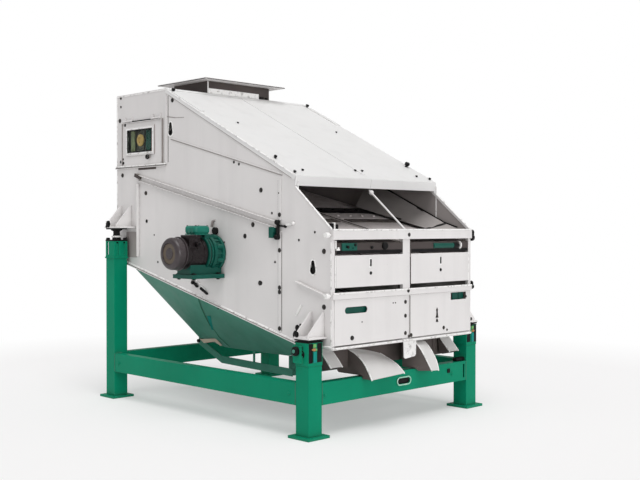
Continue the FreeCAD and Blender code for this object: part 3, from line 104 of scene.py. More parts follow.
# Edges sharper than the first are rounded, and faces meeting below the second are shaded as one
ROUND_FROM, SMOOTH_TO = math.radians(32), math.radians(34)


# Selecting and editing, as by hand

def only(piece):
    """Select one piece and nothing else."""
    bpy.ops.object.select_all(action="DESELECT")
    piece.select_set(True)
    bpy.context.view_layer.objects.active = piece
    return piece


def editing(piece, action):
    """Run an action in edit mode on everything in a piece."""
    only(piece)
    bpy.ops.object.mode_set(mode="EDIT")
    bpy.ops.mesh.select_all(action="SELECT")
    action()
    bpy.ops.object.mode_set(mode="OBJECT")
    return piece


def delete_faces(piece, wanted):
    """Delete the faces of a piece whose middle passes a test."""
    only(piece)
    mesh = piece.data
    for elements in (mesh.vertices, mesh.edges, mesh.polygons):
        elements.foreach_set("select", [False] * len(elements))
    for face in mesh.polygons:
        face.select = wanted(face.center)
    bpy.context.tool_settings.mesh_select_mode = (False, False, True)
    bpy.ops.object.mode_set(mode="EDIT")
    bpy.ops.mesh.select_mode(type="FACE")
    bpy.ops.mesh.delete(type="FACE")
    bpy.ops.mesh.select_mode(type="VERT")
    bpy.ops.object.mode_set(mode="OBJECT")


def pair_up():
    """Turn flat triangles into four-sided faces, so that no face reaches around a hole."""
    bpy.ops.mesh.quads_convert_to_tris()
    bpy.ops.mesh.tris_convert_to_quads(face_threshold=math.radians(1), shape_threshold=math.radians(180))


def modify(piece, kind, **settings):
    """Add a modifier with its settings and apply it."""
    only(piece)
    modifier = piece.modifiers.new(kind.title(), kind)
    for name, value in settings.items():
        setattr(modifier, name, value)
    bpy.ops.object.modifier_apply(modifier=modifier.name)
    return piece


def ease(piece, width, segments=2, edge_slot=0):
    """Round the sharp edges of a piece and shade it smooth between them."""
    if width:
        modify(piece, "BEVEL", width=width, segments=segments, limit_method="ANGLE",
               angle_limit=ROUND_FROM, material=edge_slot, miter_outer="MITER_ARC")
    only(piece)
    bpy.ops.object.shade_smooth_by_angle(angle=SMOOTH_TO)
    return modify(piece, "WEIGHTED_NORMAL", keep_sharp=True)


def settle(piece):
    """Put a piece's place, turn and size into its mesh."""
    only(piece)
    bpy.ops.object.transform_apply(location=True, rotation=True, scale=True)
    return piece


def block(size, place, turn=(0, 0, 0)):
    """A block of a size with its middle at a place."""
    bpy.ops.object.select_all(action="DESELECT")
    bpy.ops.mesh.primitive_cube_add(size=1, location=place, rotation=turn, scale=size)
    return settle(bpy.context.object)


def disc(radius, depth, place, turn=(0, 0, 0), sides=32):
    """A round bar with its middle at a place."""
    bpy.ops.object.select_all(action="DESELECT")
    bpy.ops.mesh.primitive_cylinder_add(vertices=sides, radius=radius, depth=depth, location=place,
                                        rotation=turn)
    return settle(bpy.context.object)


def join(pieces):
    """One object from several."""
    bpy.ops.object.select_all(action="DESELECT")
    for piece in pieces:
        piece.select_set(True)
    bpy.context.view_layer.objects.active = pieces[0]
    bpy.ops.object.join()
    return pieces[0]


def copy_of(piece):
    """A copy of a piece with its own mesh."""
    twin = piece.copy()
    twin.data = piece.data.copy()
    bpy.context.scene.collection.objects.link(twin)
    return twin


def drop(piece):
    """Remove a piece that only served to make others."""
    bpy.data.objects.remove(piece)


def fit(piece, name, body, slot, *finishes, stands_for=()):
    """Name a finished piece, give it its finish and let it ride on its body, if it has just one."""
    piece.name = name
    piece.data.name = name
    keep = [polygon.material_index for polygon in piece.data.polygons]
    piece.data.materials.clear()
    for finish in finishes:
        piece.data.materials.append(finish)
    piece.data.polygons.foreach_set("material_index", keep)
    if body:
        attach(piece, body)
    if stands_for:
        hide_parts(*stands_for)
    return piece


# Finishes

class Recipe:
    """A material under construction: its node tree and its main shader."""

    def __init__(self, name):
        self.material = bpy.data.materials.new(name)
        self.material.use_nodes = True
        self.tree = self.material.node_tree
        self.shader = self.tree.nodes["Principled BSDF"]
        self.place = self.add("ShaderNodeTexCoord").outputs["Object"]

    def add(self, kind, links=(), **settings):
        """Add a node, set its properties and connect or set its sockets."""
        node = self.tree.nodes.new(kind)
        for name, value in settings.items():
            setattr(node, name, value)
        for socket, value in dict(links).items():
            self.put(node.inputs[socket], value)
        return node

    def put(self, socket, value):
        """Set a socket, or link it where the value is another node's output."""
        if isinstance(value, bpy.types.NodeSocket):
            self.tree.links.new(value, socket)
        else:
            socket.default_value = value

    def noise(self, scale, detail=3.0, stretch=(1, 1, 1), rough=0.55):
        """A noise pattern over the piece, stretched along an axis if wanted."""
        where = self.place
        if stretch != (1, 1, 1):
            mapping = self.add("ShaderNodeMapping", {"Vector": self.place, "Scale": stretch})
            where = mapping.outputs["Vector"]
        node = self.add("ShaderNodeTexNoise", {"Vector": where, "Scale": scale, "Detail": detail,
                                               "Roughness": rough})
        return node.outputs["Fac"]

    def ramp(self, value, low, high, start=0.0, end=1.0):
        """A value turned into another range, held at its ends."""
        node = self.add("ShaderNodeMapRange", {"Value": value, "From Min": low, "From Max": high,
                                               "To Min": start, "To Max": end})
        return node.outputs["Result"]

    def sum(self, kind, a, b):
        """Two values added, multiplied or otherwise combined."""
        node = self.add("ShaderNodeMath", operation=kind)
        self.put(node.inputs[0], a)
        self.put(node.inputs[1], b)
        return node.outputs["Value"]

    def blend(self, amount, under, over):
        """Two colours mixed by an amount."""
        node = self.add("ShaderNodeMix", data_type="RGBA", blend_type="MIX")
        self.put(node.inputs["Factor"], amount)
        self.put(node.inputs[6], under)
        self.put(node.inputs[7], over)
        return node.outputs[2]

    def facing_up(self):
        """How much the surface faces upwards, from 0 to 1."""
        normal = self.add("ShaderNodeNewGeometry").outputs["Normal"]
        split = self.add("ShaderNodeSeparateXYZ", {"Vector": normal})
        return self.ramp(split.outputs["Z"], 0.35, 0.95)

    def corners(self, reach):
        """How close the surface is to an inner corner, from 0 to 1, by occlusion: the mask of painted corner
        shade.
        """
        node = self.add("ShaderNodeAmbientOcclusion", {"Distance": reach}, samples=6)
        return self.ramp(node.outputs["AO"], 0.75, 0.2)

    def bump(self, height, strength, distance):
        """Relief from a height pattern."""
        node = self.add("ShaderNodeBump", {"Height": height, "Strength": strength, "Distance": distance})
        self.put(self.shader.inputs["Normal"], node.outputs["Normal"])

    def finish(self, **sockets):
        """Set the main shader's sockets and hand the material back."""
        for name, value in sockets.items():
            self.put(self.shader.inputs[name.replace("_", " ")], value)
        return self.material


def shade(colour, factor):
    """A colour made lighter or darker."""
    return tuple(min(1.0, c * factor) for c in colour[:3]) + (1.0,)


DUST, CAST_DUST = (0.62, 0.58, 0.52, 1.0), (0.45, 0.42, 0.38, 1.0)
SOIL_AND_SHADE, CHIPPED = (0.10, 0.085, 0.07, 1.0), (0.22, 0.2, 0.18, 1.0)
RUST, BLOOM = (0.2, 0.15, 0.11, 1.0), (0.34, 0.32, 0.30, 1.0)


def paint(name, colour, rough, dust=0.25, shade_and_grime=0.35, speck=0.0, fade=0.10, shine=0.5):
    """Sprayed enamel: slight unevenness, dust on top faces, soiling and painted shade in corners, and faint
    runs.
    """
    r = Recipe(name)
    broad = r.ramp(r.noise(2.3, 4.0), 0.3, 0.7)
    base = r.blend(broad, shade(colour, 1.0 - fade), shade(colour, 1.0 + fade * 0.5))
    runs = r.ramp(r.noise(9.0, 3.0, (1.0, 1.0, 0.08)), 0.52, 0.8, 0.0, 0.22)
    base = r.blend(runs, base, shade(colour, 0.72))
    # Corners darkened by occlusion: painted shade, mixed with soiling by a noise
    corner_shade_and_grime = r.sum("MULTIPLY", r.corners(0.05), r.ramp(r.noise(26.0, 4.0), 0.25, 0.75, shade_and_grime * 0.35, shade_and_grime))
    base = r.blend(corner_shade_and_grime, base, SOIL_AND_SHADE)
    settled = r.sum("MULTIPLY", r.facing_up(), r.ramp(r.noise(6.0, 5.0), 0.35, 0.75, 0.0, dust))
    base = r.blend(settled, base, DUST)
    if speck:
        chips = r.ramp(r.noise(95.0, 2.0), 0.73, 0.76, 0.0, speck)
        base = r.blend(chips, base, CHIPPED)
    roughness = r.sum("ADD", r.ramp(r.noise(14.0, 3.0), 0.3, 0.7, rough - 0.05, rough + 0.07),
                      r.sum("MULTIPLY", settled, 0.5))
    peel = r.sum("ADD", r.noise(420.0, 1.0), r.sum("MULTIPLY", r.noise(3.0, 2.0), 2.5))
    r.bump(peel, 0.16, 0.0006)
    return r.finish(Base_Color=base, Roughness=roughness, Specular_IOR_Level=shine)


def highlit_worn_edge(name, colour, bare, rough, amount=0.5, shine=0.5):
    """The same enamel on an edge, a little lighter as a painted highlight, rubbed thin in places down to
    what is under it.
    """
    r = Recipe(name)
    rubbed = r.ramp(r.noise(38.0, 5.0, rough=0.65), 0.56 - 0.1 * amount, 0.66, 0.0, 0.85)
    base = r.blend(rubbed, shade(colour, 1.04), bare)
    roughness = r.ramp(rubbed, 0.0, 1.0, rough, 0.5)
    r.bump(rubbed, 0.3, -0.0003)
    return r.finish(Base_Color=base, Roughness=roughness, Specular_IOR_Level=shine)


def metal(name, colour, rough, grain=(1.0, 1.0, 30.0), stain=0.3, metallic=1.0):
    """Bare steel with a brushed grain and stains."""
    r = Recipe(name)
    lines = r.noise(60.0, 2.0, grain)
    base = r.blend(r.ramp(lines, 0.3, 0.7), shade(colour, 0.86), shade(colour, 1.1))
    spots = r.ramp(r.noise(11.0, 5.0), 0.5, 0.78, 0.0, stain)
    base = r.blend(spots, base, RUST)
    roughness = r.sum("ADD", r.ramp(lines, 0.3, 0.7, rough - 0.07, rough + 0.07),
                      r.sum("MULTIPLY", spots, 0.3))
    r.bump(lines, 0.1, 0.0004)
    return r.finish(Base_Color=base, Roughness=roughness, Metallic=metallic)


def casting(name, colour, rough, dust=0.3, shine=0.5):
    """A painted casting with the pitted skin of the mould, and painted shade darkening its corners."""
    r = Recipe(name)
    skin = r.noise(160.0, 4.0, rough=0.7)
    broad = r.ramp(r.noise(9.0, 3.0), 0.3, 0.7)
    base = r.blend(broad, shade(colour, 0.82), shade(colour, 1.12))
    # Corners darkened by occlusion: painted shade
    base = r.blend(r.sum("MULTIPLY", r.corners(0.03), 0.6), base, shade(colour, 0.25))
    lift = r.sum("MULTIPLY", r.facing_up(), r.ramp(r.noise(8.0, 5.0), 0.35, 0.8, 0.0, dust))
    base = r.blend(lift, base, CAST_DUST)
    r.bump(skin, 0.35, 0.0012)
    return r.finish(Base_Color=base, Roughness=r.ramp(skin, 0.3, 0.7, rough - 0.08, rough + 0.1),
                    Specular_IOR_Level=shine)


def rubber(name, colour, rough):
    """Moulded rubber or plastic: matt, a little dusty, with a faint mould grain."""
    r = Recipe(name)
    bloom = r.sum("ADD", r.ramp(r.noise(20.0, 5.0), 0.45, 0.8, 0.0, 0.03),
                  r.sum("MULTIPLY", r.facing_up(), 0.03))
    base = r.blend(bloom, colour, BLOOM)
    grain = r.noise(300.0, 2.0)
    r.bump(grain, 0.2, 0.0006)
    return r.finish(Base_Color=base, Roughness=r.ramp(grain, 0.3, 0.7, rough - 0.05, rough + 0.08),
                    Specular_IOR_Level=0.12)


GREEN = (0.002, 0.245, 0.135)
finish = {
    "casing": paint("casing enamel", (0.77, 0.75, 0.745), 0.42, dust=0.1, shade_and_grime=0.6, speck=0.35, fade=0.05),
    # The edge finishes are lighter than their faces: painted highlight along the rounded edges, with wear
    "casing_edge": highlit_worn_edge("casing enamel at edges", (0.86, 0.85, 0.84), (0.45, 0.43, 0.42, 1), 0.38),
    # The hood's white is the walls' white made lighter: painted light on the sloping top
    "hood": paint("hood enamel", (0.82, 0.815, 0.81), 0.4, dust=0.06, shade_and_grime=0.4, speck=0.3, fade=0.03),
    "green": paint("stand enamel", GREEN, 0.4, dust=0.0, shade_and_grime=0.5, fade=0.12, shine=0.08),
    "green_edge": highlit_worn_edge("stand enamel at edges", (0.015, 0.33, 0.20), (0.14, 0.26, 0.2, 1), 0.36, 0.4,
                            0.12),
    "hopper": paint("hopper enamel", (0.075, 0.27, 0.20), 0.45, dust=0.03, shade_and_grime=0.6, fade=0.2, shine=0.12),
    "hopper_edge": highlit_worn_edge("hopper enamel at edges", (0.1, 0.27, 0.2), (0.3, 0.33, 0.3, 1), 0.4),
    # Inner faces and inner parts are darker than the outside enamel: painted shade inside the casing
    "inner": paint("inner primer", (0.40, 0.365, 0.355), 0.6, dust=0.2, shade_and_grime=0.9, fade=0.2, shine=0.2),
    "deck_guide": paint("deck guide steel", (0.34, 0.315, 0.31), 0.55, dust=0.3, shade_and_grime=0.5, fade=0.2,
                        shine=0.3),
    # Darker still under the neck's flange, on the cassettes inside and in dark lines: painted shade
    "deep": paint("dark inner primer", (0.075, 0.062, 0.06), 0.6, dust=0.3, shade_and_grime=0.9, fade=0.2, shine=0.2),
    "spout": paint("spout enamel", (0.66, 0.645, 0.635), 0.45, dust=0.1, shade_and_grime=0.7, fade=0.08),
    "sieve": metal("sieve steel", (0.80, 0.74, 0.73), 0.5, (1.0, 30.0, 1.0), 0.3, 0.1),
    "steel": metal("turned steel", (0.5, 0.5, 0.5), 0.35),
    "bolt": metal("blackened steel", (0.03, 0.028, 0.027), 0.42, (1, 1, 1), 0.35, 0.4),
    "brass": metal("brass", (0.58, 0.32, 0.10), 0.38, (1, 1, 1), 0.2, 0.4),
    "motor_green": casting("motor mount enamel", (0.003, 0.088, 0.064), 0.4, 0.1, 0.25),
    # The lid's green is the mount's green made lighter: painted light on its top
    "lid": casting("terminal box enamel", (0.008, 0.19, 0.135), 0.36, 0.12, 0.3),
    "motor_dark": casting("motor drum paint", (0.010, 0.006, 0.007), 0.3, 0.06, 0.35),
    "motor_cap": casting("motor end paint", (0.045, 0.035, 0.038), 0.32, 0.15, 0.5),
    "olive": paint("rack lacquer", (0.40, 0.40, 0.22), 0.5, dust=0.1, shade_and_grime=0.6, fade=0.3, shine=0.3),
    # Copper tone of the strip by the window's rim: painted light and shade at that edge
    "copper": paint("copper lacquer", (0.36, 0.14, 0.07), 0.5, dust=0.1, shade_and_grime=0.6, fade=0.2, shine=0.3),
    "cap_face": casting("motor end lacquer", (0.10, 0.075, 0.05), 0.45),
    # The spouts' cheeks are darker than their aprons: painted shade on the faces turned from the light
    "cheek": paint("spout inside primer", (0.115, 0.095, 0.09), 0.6, dust=0.2, shade_and_grime=0.8, fade=0.25,
                   shine=0.2),
    "weld": casting("welded enamel", (0.008, 0.16, 0.09), 0.45),
    "tan": paint("worn primer", (0.62, 0.50, 0.40), 0.55, dust=0.2, shade_and_grime=0.8, fade=0.3, shine=0.3),
    # Colours of the spots of painted reflection on the cups' fronts and the hopper
    "teal": paint("teal lacquer", (0.0, 0.26, 0.22), 0.45, dust=0.0, shade_and_grime=0.5, fade=0.3, shine=0.2),
    "leaf": paint("leaf lacquer", (0.17, 0.42, 0.13), 0.45, dust=0.0, shade_and_grime=0.5, fade=0.3, shine=0.2),
    "orange": paint("orange lacquer", (0.48, 0.22, 0.09), 0.45, dust=0.0, shade_and_grime=0.5, fade=0.3, shine=0.2),
    "slot_rim": highlit_worn_edge("slot rim enamel", (0.28, 0.60, 0.45), (0.7, 0.75, 0.7, 1), 0.4, 0.5),
    "rubber": rubber("spring rubber", (0.012, 0.012, 0.012, 1), 0.62),
    "ball": rubber("ball rubber", (0.42, 0.11, 0.06, 1), 0.6),
    "knob": rubber("knob plastic", (0.006, 0.006, 0.0065, 1), 0.4),
}


def glass():
    """Clear acrylic with faint scratches."""
    r = Recipe("window acrylic")
    marks = r.ramp(r.noise(55.0, 4.0, (1.0, 1.0, 12.0)), 0.55, 0.8)
    return r.finish(Base_Color=(0.80, 0.9, 0.86, 1.0), Roughness=r.ramp(marks, 0, 1, 0.03, 0.12),
                    Transmission_Weight=1.0, IOR=1.12)


finish["glass"] = glass()

# What most small pieces are made of: a slot of the record and a finish
# White parts take the lighter edge enamel: bright strips and rims in it are painted highlights
HIGHLIGHT_WHITE = ("casing_white", finish["casing_edge"])
BLACK = ("knob_black", finish["knob"])
SEAL_AND_SHADE = ("spring_rubber", finish["knob"])
# Black for seals and for strips of painted shade
RUBBER = ("spring_rubber", finish["rubber"])
DEEP_SHADE = ("inner_steel", finish["deep"])
INNER = ("inner_steel", finish["inner"])
BOLT = ("bolt_dark", finish["bolt"])
BLACK_BOLT = ("bolt_dark", finish["knob"])
BEAM_GREEN = ("frame_green", finish["green"])
DARK_GREEN = ("frame_green", finish["motor_green"])
MOUNT_GREEN = ("motor_green", finish["motor_green"])


# Plates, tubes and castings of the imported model, with their edges rounded

MIDDLE = Vector((0, 0, 1.2))
MERGE_WITHIN = 0.00002


def inside(middle, normal):
    """Whether a face of the casing looks into it."""
    return normal.dot(middle - MIDDLE) < -0.02


def merged_copy(node):
    """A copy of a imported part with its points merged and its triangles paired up."""
    piece = copy_of(frame["nodes"][node])
    for key in [key for key in piece.keys() if key.startswith("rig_")]:
        del piece[key]
    piece.parent = None
    piece.hide_render = piece.hide_viewport = False
    piece.hide_set(False)

    def merge():
        bpy.ops.mesh.remove_doubles(threshold=MERGE_WITHIN)
        pair_up()

    return editing(piece, merge)


def loose_solids(piece):
    """Split a piece into its solids: each with its lowest and its highest corner."""
    editing(piece, lambda: bpy.ops.mesh.separate(type="LOOSE"))
    found = []
    for solid in list(bpy.context.selected_objects):
        points = [point.co for point in solid.data.vertices]
        low = Vector([min(p[i] for p in points) for i in range(3)])
        high = Vector([max(p[i] for p in points) for i in range(3)])
        found.append((solid, low, high))
    return found


def keep_solids(piece, wanted):
    """Leave only the solids of a piece whose middle passes a test."""
    kept = []
    for solid, low, high in loose_solids(piece):
        if wanted((low + high) / 2):
            kept.append(solid)
        else:
            drop(solid)
    return join(kept)


def dressed(node, slot, face, edge=None, width=0.0012, shade_lining=None, solids=None, tag=""):
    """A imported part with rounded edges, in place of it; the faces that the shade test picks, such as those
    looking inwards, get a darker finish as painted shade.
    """
    body = frame["nodes"][node]["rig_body"]
    piece = merged_copy(node)
    if solids is not None:
        piece = keep_solids(piece, solids)
    finishes = [finish[face], finish[edge or face]]
    if shade_lining:
        name, looks_in = shade_lining
        finishes.append(finish[name])
        for polygon in piece.data.polygons:
            polygon.material_index = 2 if looks_in(polygon.center, polygon.normal) else 0
    ease(piece, width, edge_slot=1)
    return fit(piece, node + ".finished" + tag, body, slot, *finishes, stands_for=(node,))


# Imported parts with their slot, finish, finish of the edges, rounding and the darker finish and test of
# painted shade for faces looking in
SHADED_INSIDE = ("inner", inside)
DRESS = (
    (("leg_inlet_near", "leg_inlet_far", "leg_discharge_near", "leg_discharge_far"),
     "frame_green", "green", "green_edge", 0.005, None),
    (("side_beams", "end_beam_inlet", "end_beam_discharge"),
     "frame_green", "green", "green_edge", 0.003, None),
    (("base_plates", "spring_cups"), "frame_green", "green", "green_edge", 0.002, None),
    (("side_wall_near", "side_wall_far", "back_wall", "roof_plate", "lower_covers", "lower_panel_near",
      "lower_panel_far", "service_door"), "casing_white", "casing", "casing_edge", 0.0012, SHADED_INSIDE),
    (("wall_trims", "joint_flanges", "front_top_bar", "front_mid_bar", "front_mullions", "front_posts",
      "spring_brackets", "door_hinges"), "casing_white", "casing", "casing_edge", 0.0012, None),
    (("hood_panel_near", "hood_panel_far"), "casing_white", "hood", "casing_edge", 0.0012, SHADED_INSIDE),
    (("hood_trim",), "casing_white", "hood", "casing_edge", 0.0012, None),
    (("floor_plates",), "inner_steel", "casing", None, 0.0008, SHADED_INSIDE),
    (("deck_rails", "centre_beams", "feed_flap", "cross_tubes"),
     "inner_steel", "inner", None, 0.0008, None),
    (("upper_cassette_near", "upper_cassette_far", "lower_cassette_near", "lower_cassette_far"),
     "inner_steel", "deep", None, 0.0008, None),
    (("hopper", "outlet_frame"), "hopper_green", "hopper", "hopper_edge", 0.001, None),
    (("cleaning_balls_near", "cleaning_balls_far"), "ball_rubber", "ball", None, 0.0, None),
    (("window_pane",), "window_glass", "glass", None, 0.001, None),
    (("motor_mounts",), "motor_green", "motor_green", None, 0.003, None),
    (("rotor_near", "rotor_far"), "rotor_steel", "steel", None, 0.001, None),
    (("flap_bearings",), "inner_steel", "deep", None, 0.0, None),
)
for nodes, slot, face, edge, width, shade_lining in DRESS:
    for node in nodes:
        dressed(node, slot, face, edge, width, shade_lining=shade_lining)


# Inlet neck: painted shade on its sides below its flange, with a folded skirt in front and lines of shade

NECK_X, NECK_Y, FLANGE_Z = -0.4665, 0.2710, 2.1
NECK_SHADE_FACES = ("deep", lambda middle, normal: abs(normal.z) < 0.5 and middle.z < FLANGE_Z)
dressed("inlet_spout", "casing_white", "casing", "casing_edge", 0.0012, shade_lining=NECK_SHADE_FACES)
skirt = block((0.0016, 0.440, 0.034), (NECK_X, -0.046, 2.037))
post = block((0.006, 0.006, 0.078), (NECK_X - 0.0014, -NECK_Y, 2.060))
fit(ease(join([skirt, post]), 0.0006, 1), "spout_skirt", "sieve_body", *HIGHLIGHT_WHITE)
shades = [block((0.368, 0.0016, 0.008), (-0.660, side * (NECK_Y + 0.0002), 2.0245)) for side in SIDES]
shades += [block((0.530, 0.0010, 0.004), (-0.656, side * 0.3506, 2.1040)) for side in SIDES]
shades += [block((0.0010, 0.694, 0.004), (-0.3874, 0, 2.1040))]
shades += [ease(block((0.010, wide, 0.012), (NECK_X + 0.004, y, 2.030)), 0.003)
           for y, wide in ((0.196, 0.036), (0.238, 0.020))]
fit(join(shades), "spout_shades", "sieve_body", *SEAL_AND_SHADE)


# Parts of which only some solids are used: the bases of the terminal boxes and the black knobs

def on_near_corner(middle):
    """Whether a knob sits on the front end of the near wall, where the knobs are white."""
    return middle.x > 0.95 and middle.y < -0.6


def moved_pair(middle):
    """Whether a knob is one of the pair near the hood's sides that is drawn anew."""
    return 0.40 < middle.x < 0.48 and abs(middle.y) > 0.5


dressed("terminal_boxes", "motor_dark", "motor_dark", None, 0.004, solids=lambda middle: middle.z < BOX_TOP)
dressed("hood_knobs", "knob_black", "knob", None, 0.002,
        solids=lambda middle: not on_near_corner(middle) and not moved_pair(middle))
dressed("hood_knobs", "casing_white", "casing_edge", None, 0.002, solids=on_near_corner, tag=".near")


# Sheets with a shape of their own

def sheet_of(columns, rows, thick, place_of):
    """A metal sheet: a grid whose points are moved to where they belong, then given its thickness."""
    bpy.ops.object.select_all(action="DESELECT")
    bpy.ops.mesh.primitive_grid_add(x_subdivisions=columns, y_subdivisions=rows, size=1, location=(0, 0, 0))
    piece = bpy.context.object
    for point in piece.data.vertices:
        point.co = place_of(point.co.x + 0.5, point.co.y + 0.5)
    modify(piece, "SOLIDIFY", thickness=thick, offset=0)
    return editing(piece, lambda: bpy.ops.mesh.normals_make_consistent(inside=False))


def along(points, share):
    """A place along a polyline, with its share of the whole length."""
    points = [Vector(p) for p in points]
    lengths = [(b - a).length for a, b in zip(points, points[1:])]
    left = share * sum(lengths)
    for a, b, length in zip(points, points[1:], lengths):
        if left <= length or b is points[-1]:
            return a.lerp(b, min(1.0, left / length))
        left -= length


def ruled(first, second, columns, rows, thick, crown=0.0):
    """A sheet stretched between two curves of (x, y, z) points, a little crowned if wanted."""
    def place_of(u, v):
        spot = along(first, u).lerp(along(second, u), v)
        spot.z += crown * math.sin(math.pi * v) * math.sin(math.pi * u)
        return spot
    return sheet_of(columns, rows, thick, place_of)


COLUMN_Y = {"near": limit("upper_cassette_near", LOW, Y), "far": limit("upper_cassette_far", LOW, Y)}
SIEVE_WIDTH = round(-COLUMN_Y["near"] - COLUMN_Y["far"], 4)
SIEVE_LENGTH, FRAME_HEIGHT, SIEVE_THICK = 1.440, 0.056, 0.002
CASSETTE_LENGTH = 1.760
UPPER_DECK_Z, LOWER_DECK_Z = 0.985, 0.815


def on_deck(piece, deck_z, y):
    """Lay a piece that is drawn level, measured from the front, on a sloping deck."""
    piece.rotation_euler = (0, DECK_ANGLE, 0)
    piece.location = (FRONT_X, y, deck_z)
    return settle(piece)


def perforated(columns, rows, hole, segments):
    """A sieve sheet with real holes: the corners of a grid are cut off and the cut faces removed."""
    bpy.ops.object.select_all(action="DESELECT")
    bpy.ops.mesh.primitive_grid_add(x_subdivisions=columns, y_subdivisions=rows, size=1, location=(0, 0, 0))
    piece = bpy.context.object
    piece.scale = (SIEVE_LENGTH, SIEVE_WIDTH, 1)
    settle(piece)
    pitch = Vector((SIEVE_LENGTH / columns, SIEVE_WIDTH / rows))

    def half_steps(place):
        """A place on the sheet, counted in half pitches."""
        return round(place.x / pitch.x * 2), round(place.y / pitch.y * 2)

    bpy.ops.object.mode_set(mode="EDIT")
    bpy.ops.mesh.select_mode(type="VERT")
    bpy.ops.mesh.select_all(action="DESELECT")
    bpy.ops.object.mode_set(mode="OBJECT")
    centres = set()
    for point in piece.data.vertices:
        point.select = (abs(point.co.x) < SIEVE_LENGTH / 2 - 0.9 * pitch.x
                        and abs(point.co.y) < SIEVE_WIDTH / 2 - 0.9 * pitch.y)
        if point.select:
            centres.add(half_steps(point.co))
    bpy.ops.object.mode_set(mode="EDIT")
    bpy.ops.mesh.bevel(offset=hole, segments=segments, profile=0.5, affect="VERTICES")
    bpy.ops.object.mode_set(mode="OBJECT")

    def in_hole(middle):
        """Whether the middle of a face is that of a cut corner."""
        spot = half_steps(middle)
        centre = Vector((spot[0] * pitch.x / 2, spot[1] * pitch.y / 2))
        return spot in centres and (middle.xy - centre).length < hole * 0.75

    delete_faces(piece, in_hole)
    modify(piece, "SOLIDIFY", thickness=SIEVE_THICK, offset=0)
    editing(piece, lambda: bpy.ops.mesh.normals_make_consistent(inside=False))
    piece.location = (SIEVE_LENGTH / 2 - CASSETTE_LENGTH, SIEVE_WIDTH / 2, FRAME_HEIGHT + SIEVE_THICK / 2)
    return settle(piece)


upper_screen = perforated(80, 30, 0.0068, 2)
lower_screen = perforated(96, 36, 0.0042, 1)
for side, y in COLUMN_Y.items():
    for screen, deck, deck_z in ((upper_screen, "upper", UPPER_DECK_Z),
                                 (lower_screen, "lower", LOWER_DECK_Z)):
        laid = on_deck(copy_of(screen), deck_z, y)
        fit(laid, deck + "_screen_" + side, deck + "_cassette_" + side, "sieve_steel", finish["sieve"],
            stands_for=(deck + "_sieve_" + side,))
drop(upper_screen)
drop(lower_screen)


# Small parts, drawn once and copied to their places

TURNS = {"+Z": (0, 0, 0), "+X": (0, math.pi / 2, 0), "-Y": (math.pi / 2, 0, 0), "+Y": (-math.pi / 2, 0, 0)}


def turned_piece(profile, place=(0, 0, 0), facing="+Z", sides=28):
    """A round part turned from its profile: pairs of height and radius from its base up."""
    bpy.ops.object.select_all(action="DESELECT")
    height, radius = profile[0]
    bpy.ops.mesh.primitive_circle_add(vertices=sides, radius=radius, fill_type="NGON",
                                      location=(0, 0, height))
    piece = settle(bpy.context.object)
    bpy.ops.object.mode_set(mode="EDIT")
    bpy.ops.mesh.select_all(action="SELECT")
    for next_height, next_radius in profile[1:]:
        bpy.ops.mesh.extrude_region_move(TRANSFORM_OT_translate={"value": (0, 0, next_height - height)})
        share = next_radius / radius
        bpy.ops.transform.resize(value=(share, share, 1), center_override=(0, 0, next_height))
        height, radius = next_height, next_radius
    bpy.ops.mesh.select_all(action="SELECT")
    bpy.ops.mesh.normals_make_consistent(inside=False)
    bpy.ops.object.mode_set(mode="OBJECT")
    piece.rotation_euler = TURNS[facing] if isinstance(facing, str) else facing
    piece.location = place
    settle(piece)
    only(piece)
    bpy.ops.object.shade_smooth_by_angle(angle=SMOOTH_TO)
    return piece


def cut_plate(outline, thick, place=(0, 0, 0), facing="-Y"):
    """A flat plate cut to an outline: pairs of distance to the right and up, as seen from its front."""
    bpy.ops.object.select_all(action="DESELECT")
    bpy.ops.mesh.primitive_circle_add(vertices=len(outline), radius=1, fill_type="NGON")
    piece = bpy.context.object
    for point, (right, up) in zip(piece.data.vertices, outline):
        point.co = (right, -thick / 2, up) if facing == "-Y" else (thick / 2, right, up)
    out = (0, thick, 0) if facing == "-Y" else (-thick, 0, 0)
    bpy.ops.object.mode_set(mode="EDIT")
    bpy.ops.mesh.select_all(action="SELECT")
    bpy.ops.mesh.extrude_region_move(TRANSFORM_OT_translate={"value": out})
    bpy.ops.mesh.select_all(action="SELECT")
    bpy.ops.mesh.normals_make_consistent(inside=False)
    bpy.ops.object.mode_set(mode="OBJECT")
    piece.location = place
    return settle(piece)


def carve(piece, *cutters):
    """Cut away what the cutters fill, and remove them."""
    for cutter in cutters:
        modify(piece, "BOOLEAN", object=cutter, operation="DIFFERENCE", solver="EXACT")
        drop(cutter)
    return editing(piece, pair_up)


def wall_bar(start, end, wide, proud, side, base=HALF_WIDTH):
    """A flat bar on a side wall between two points (x, z)."""
    (x0, z0), (x1, z1) = start, end
    length = math.hypot(x1 - x0, z1 - z0)
    place = ((x0 + x1) / 2, side * (base + proud / 2), (z0 + z1) / 2)
    return block((length, proud, wide), place, (0, -math.atan2(z1 - z0, x1 - x0), 0))


def bar_between(start, end, wide, thick, roll=0.0):
    """A straight bar from one point to another, rolled about its own length if wanted."""
    start, end = Vector(start), Vector(end)
    run = end - start
    turn = run.to_track_quat("X", "Z") @ Quaternion((1, 0, 0), math.radians(roll))
    return block((run.length, wide, thick), (start + end) / 2, turn.to_euler())


def side_bead(start, end, size, side, base=HALF_WIDTH):
    """A folded edge on a side wall between two points (x, z): its upper half faces the light; in the white
    edge enamel it is a painted highlight line.
    """
    (x0, z0), (x1, z1) = start, end
    return bar_between((x0, side * base, z0), (x1, side * base, z1), size, size, 45)


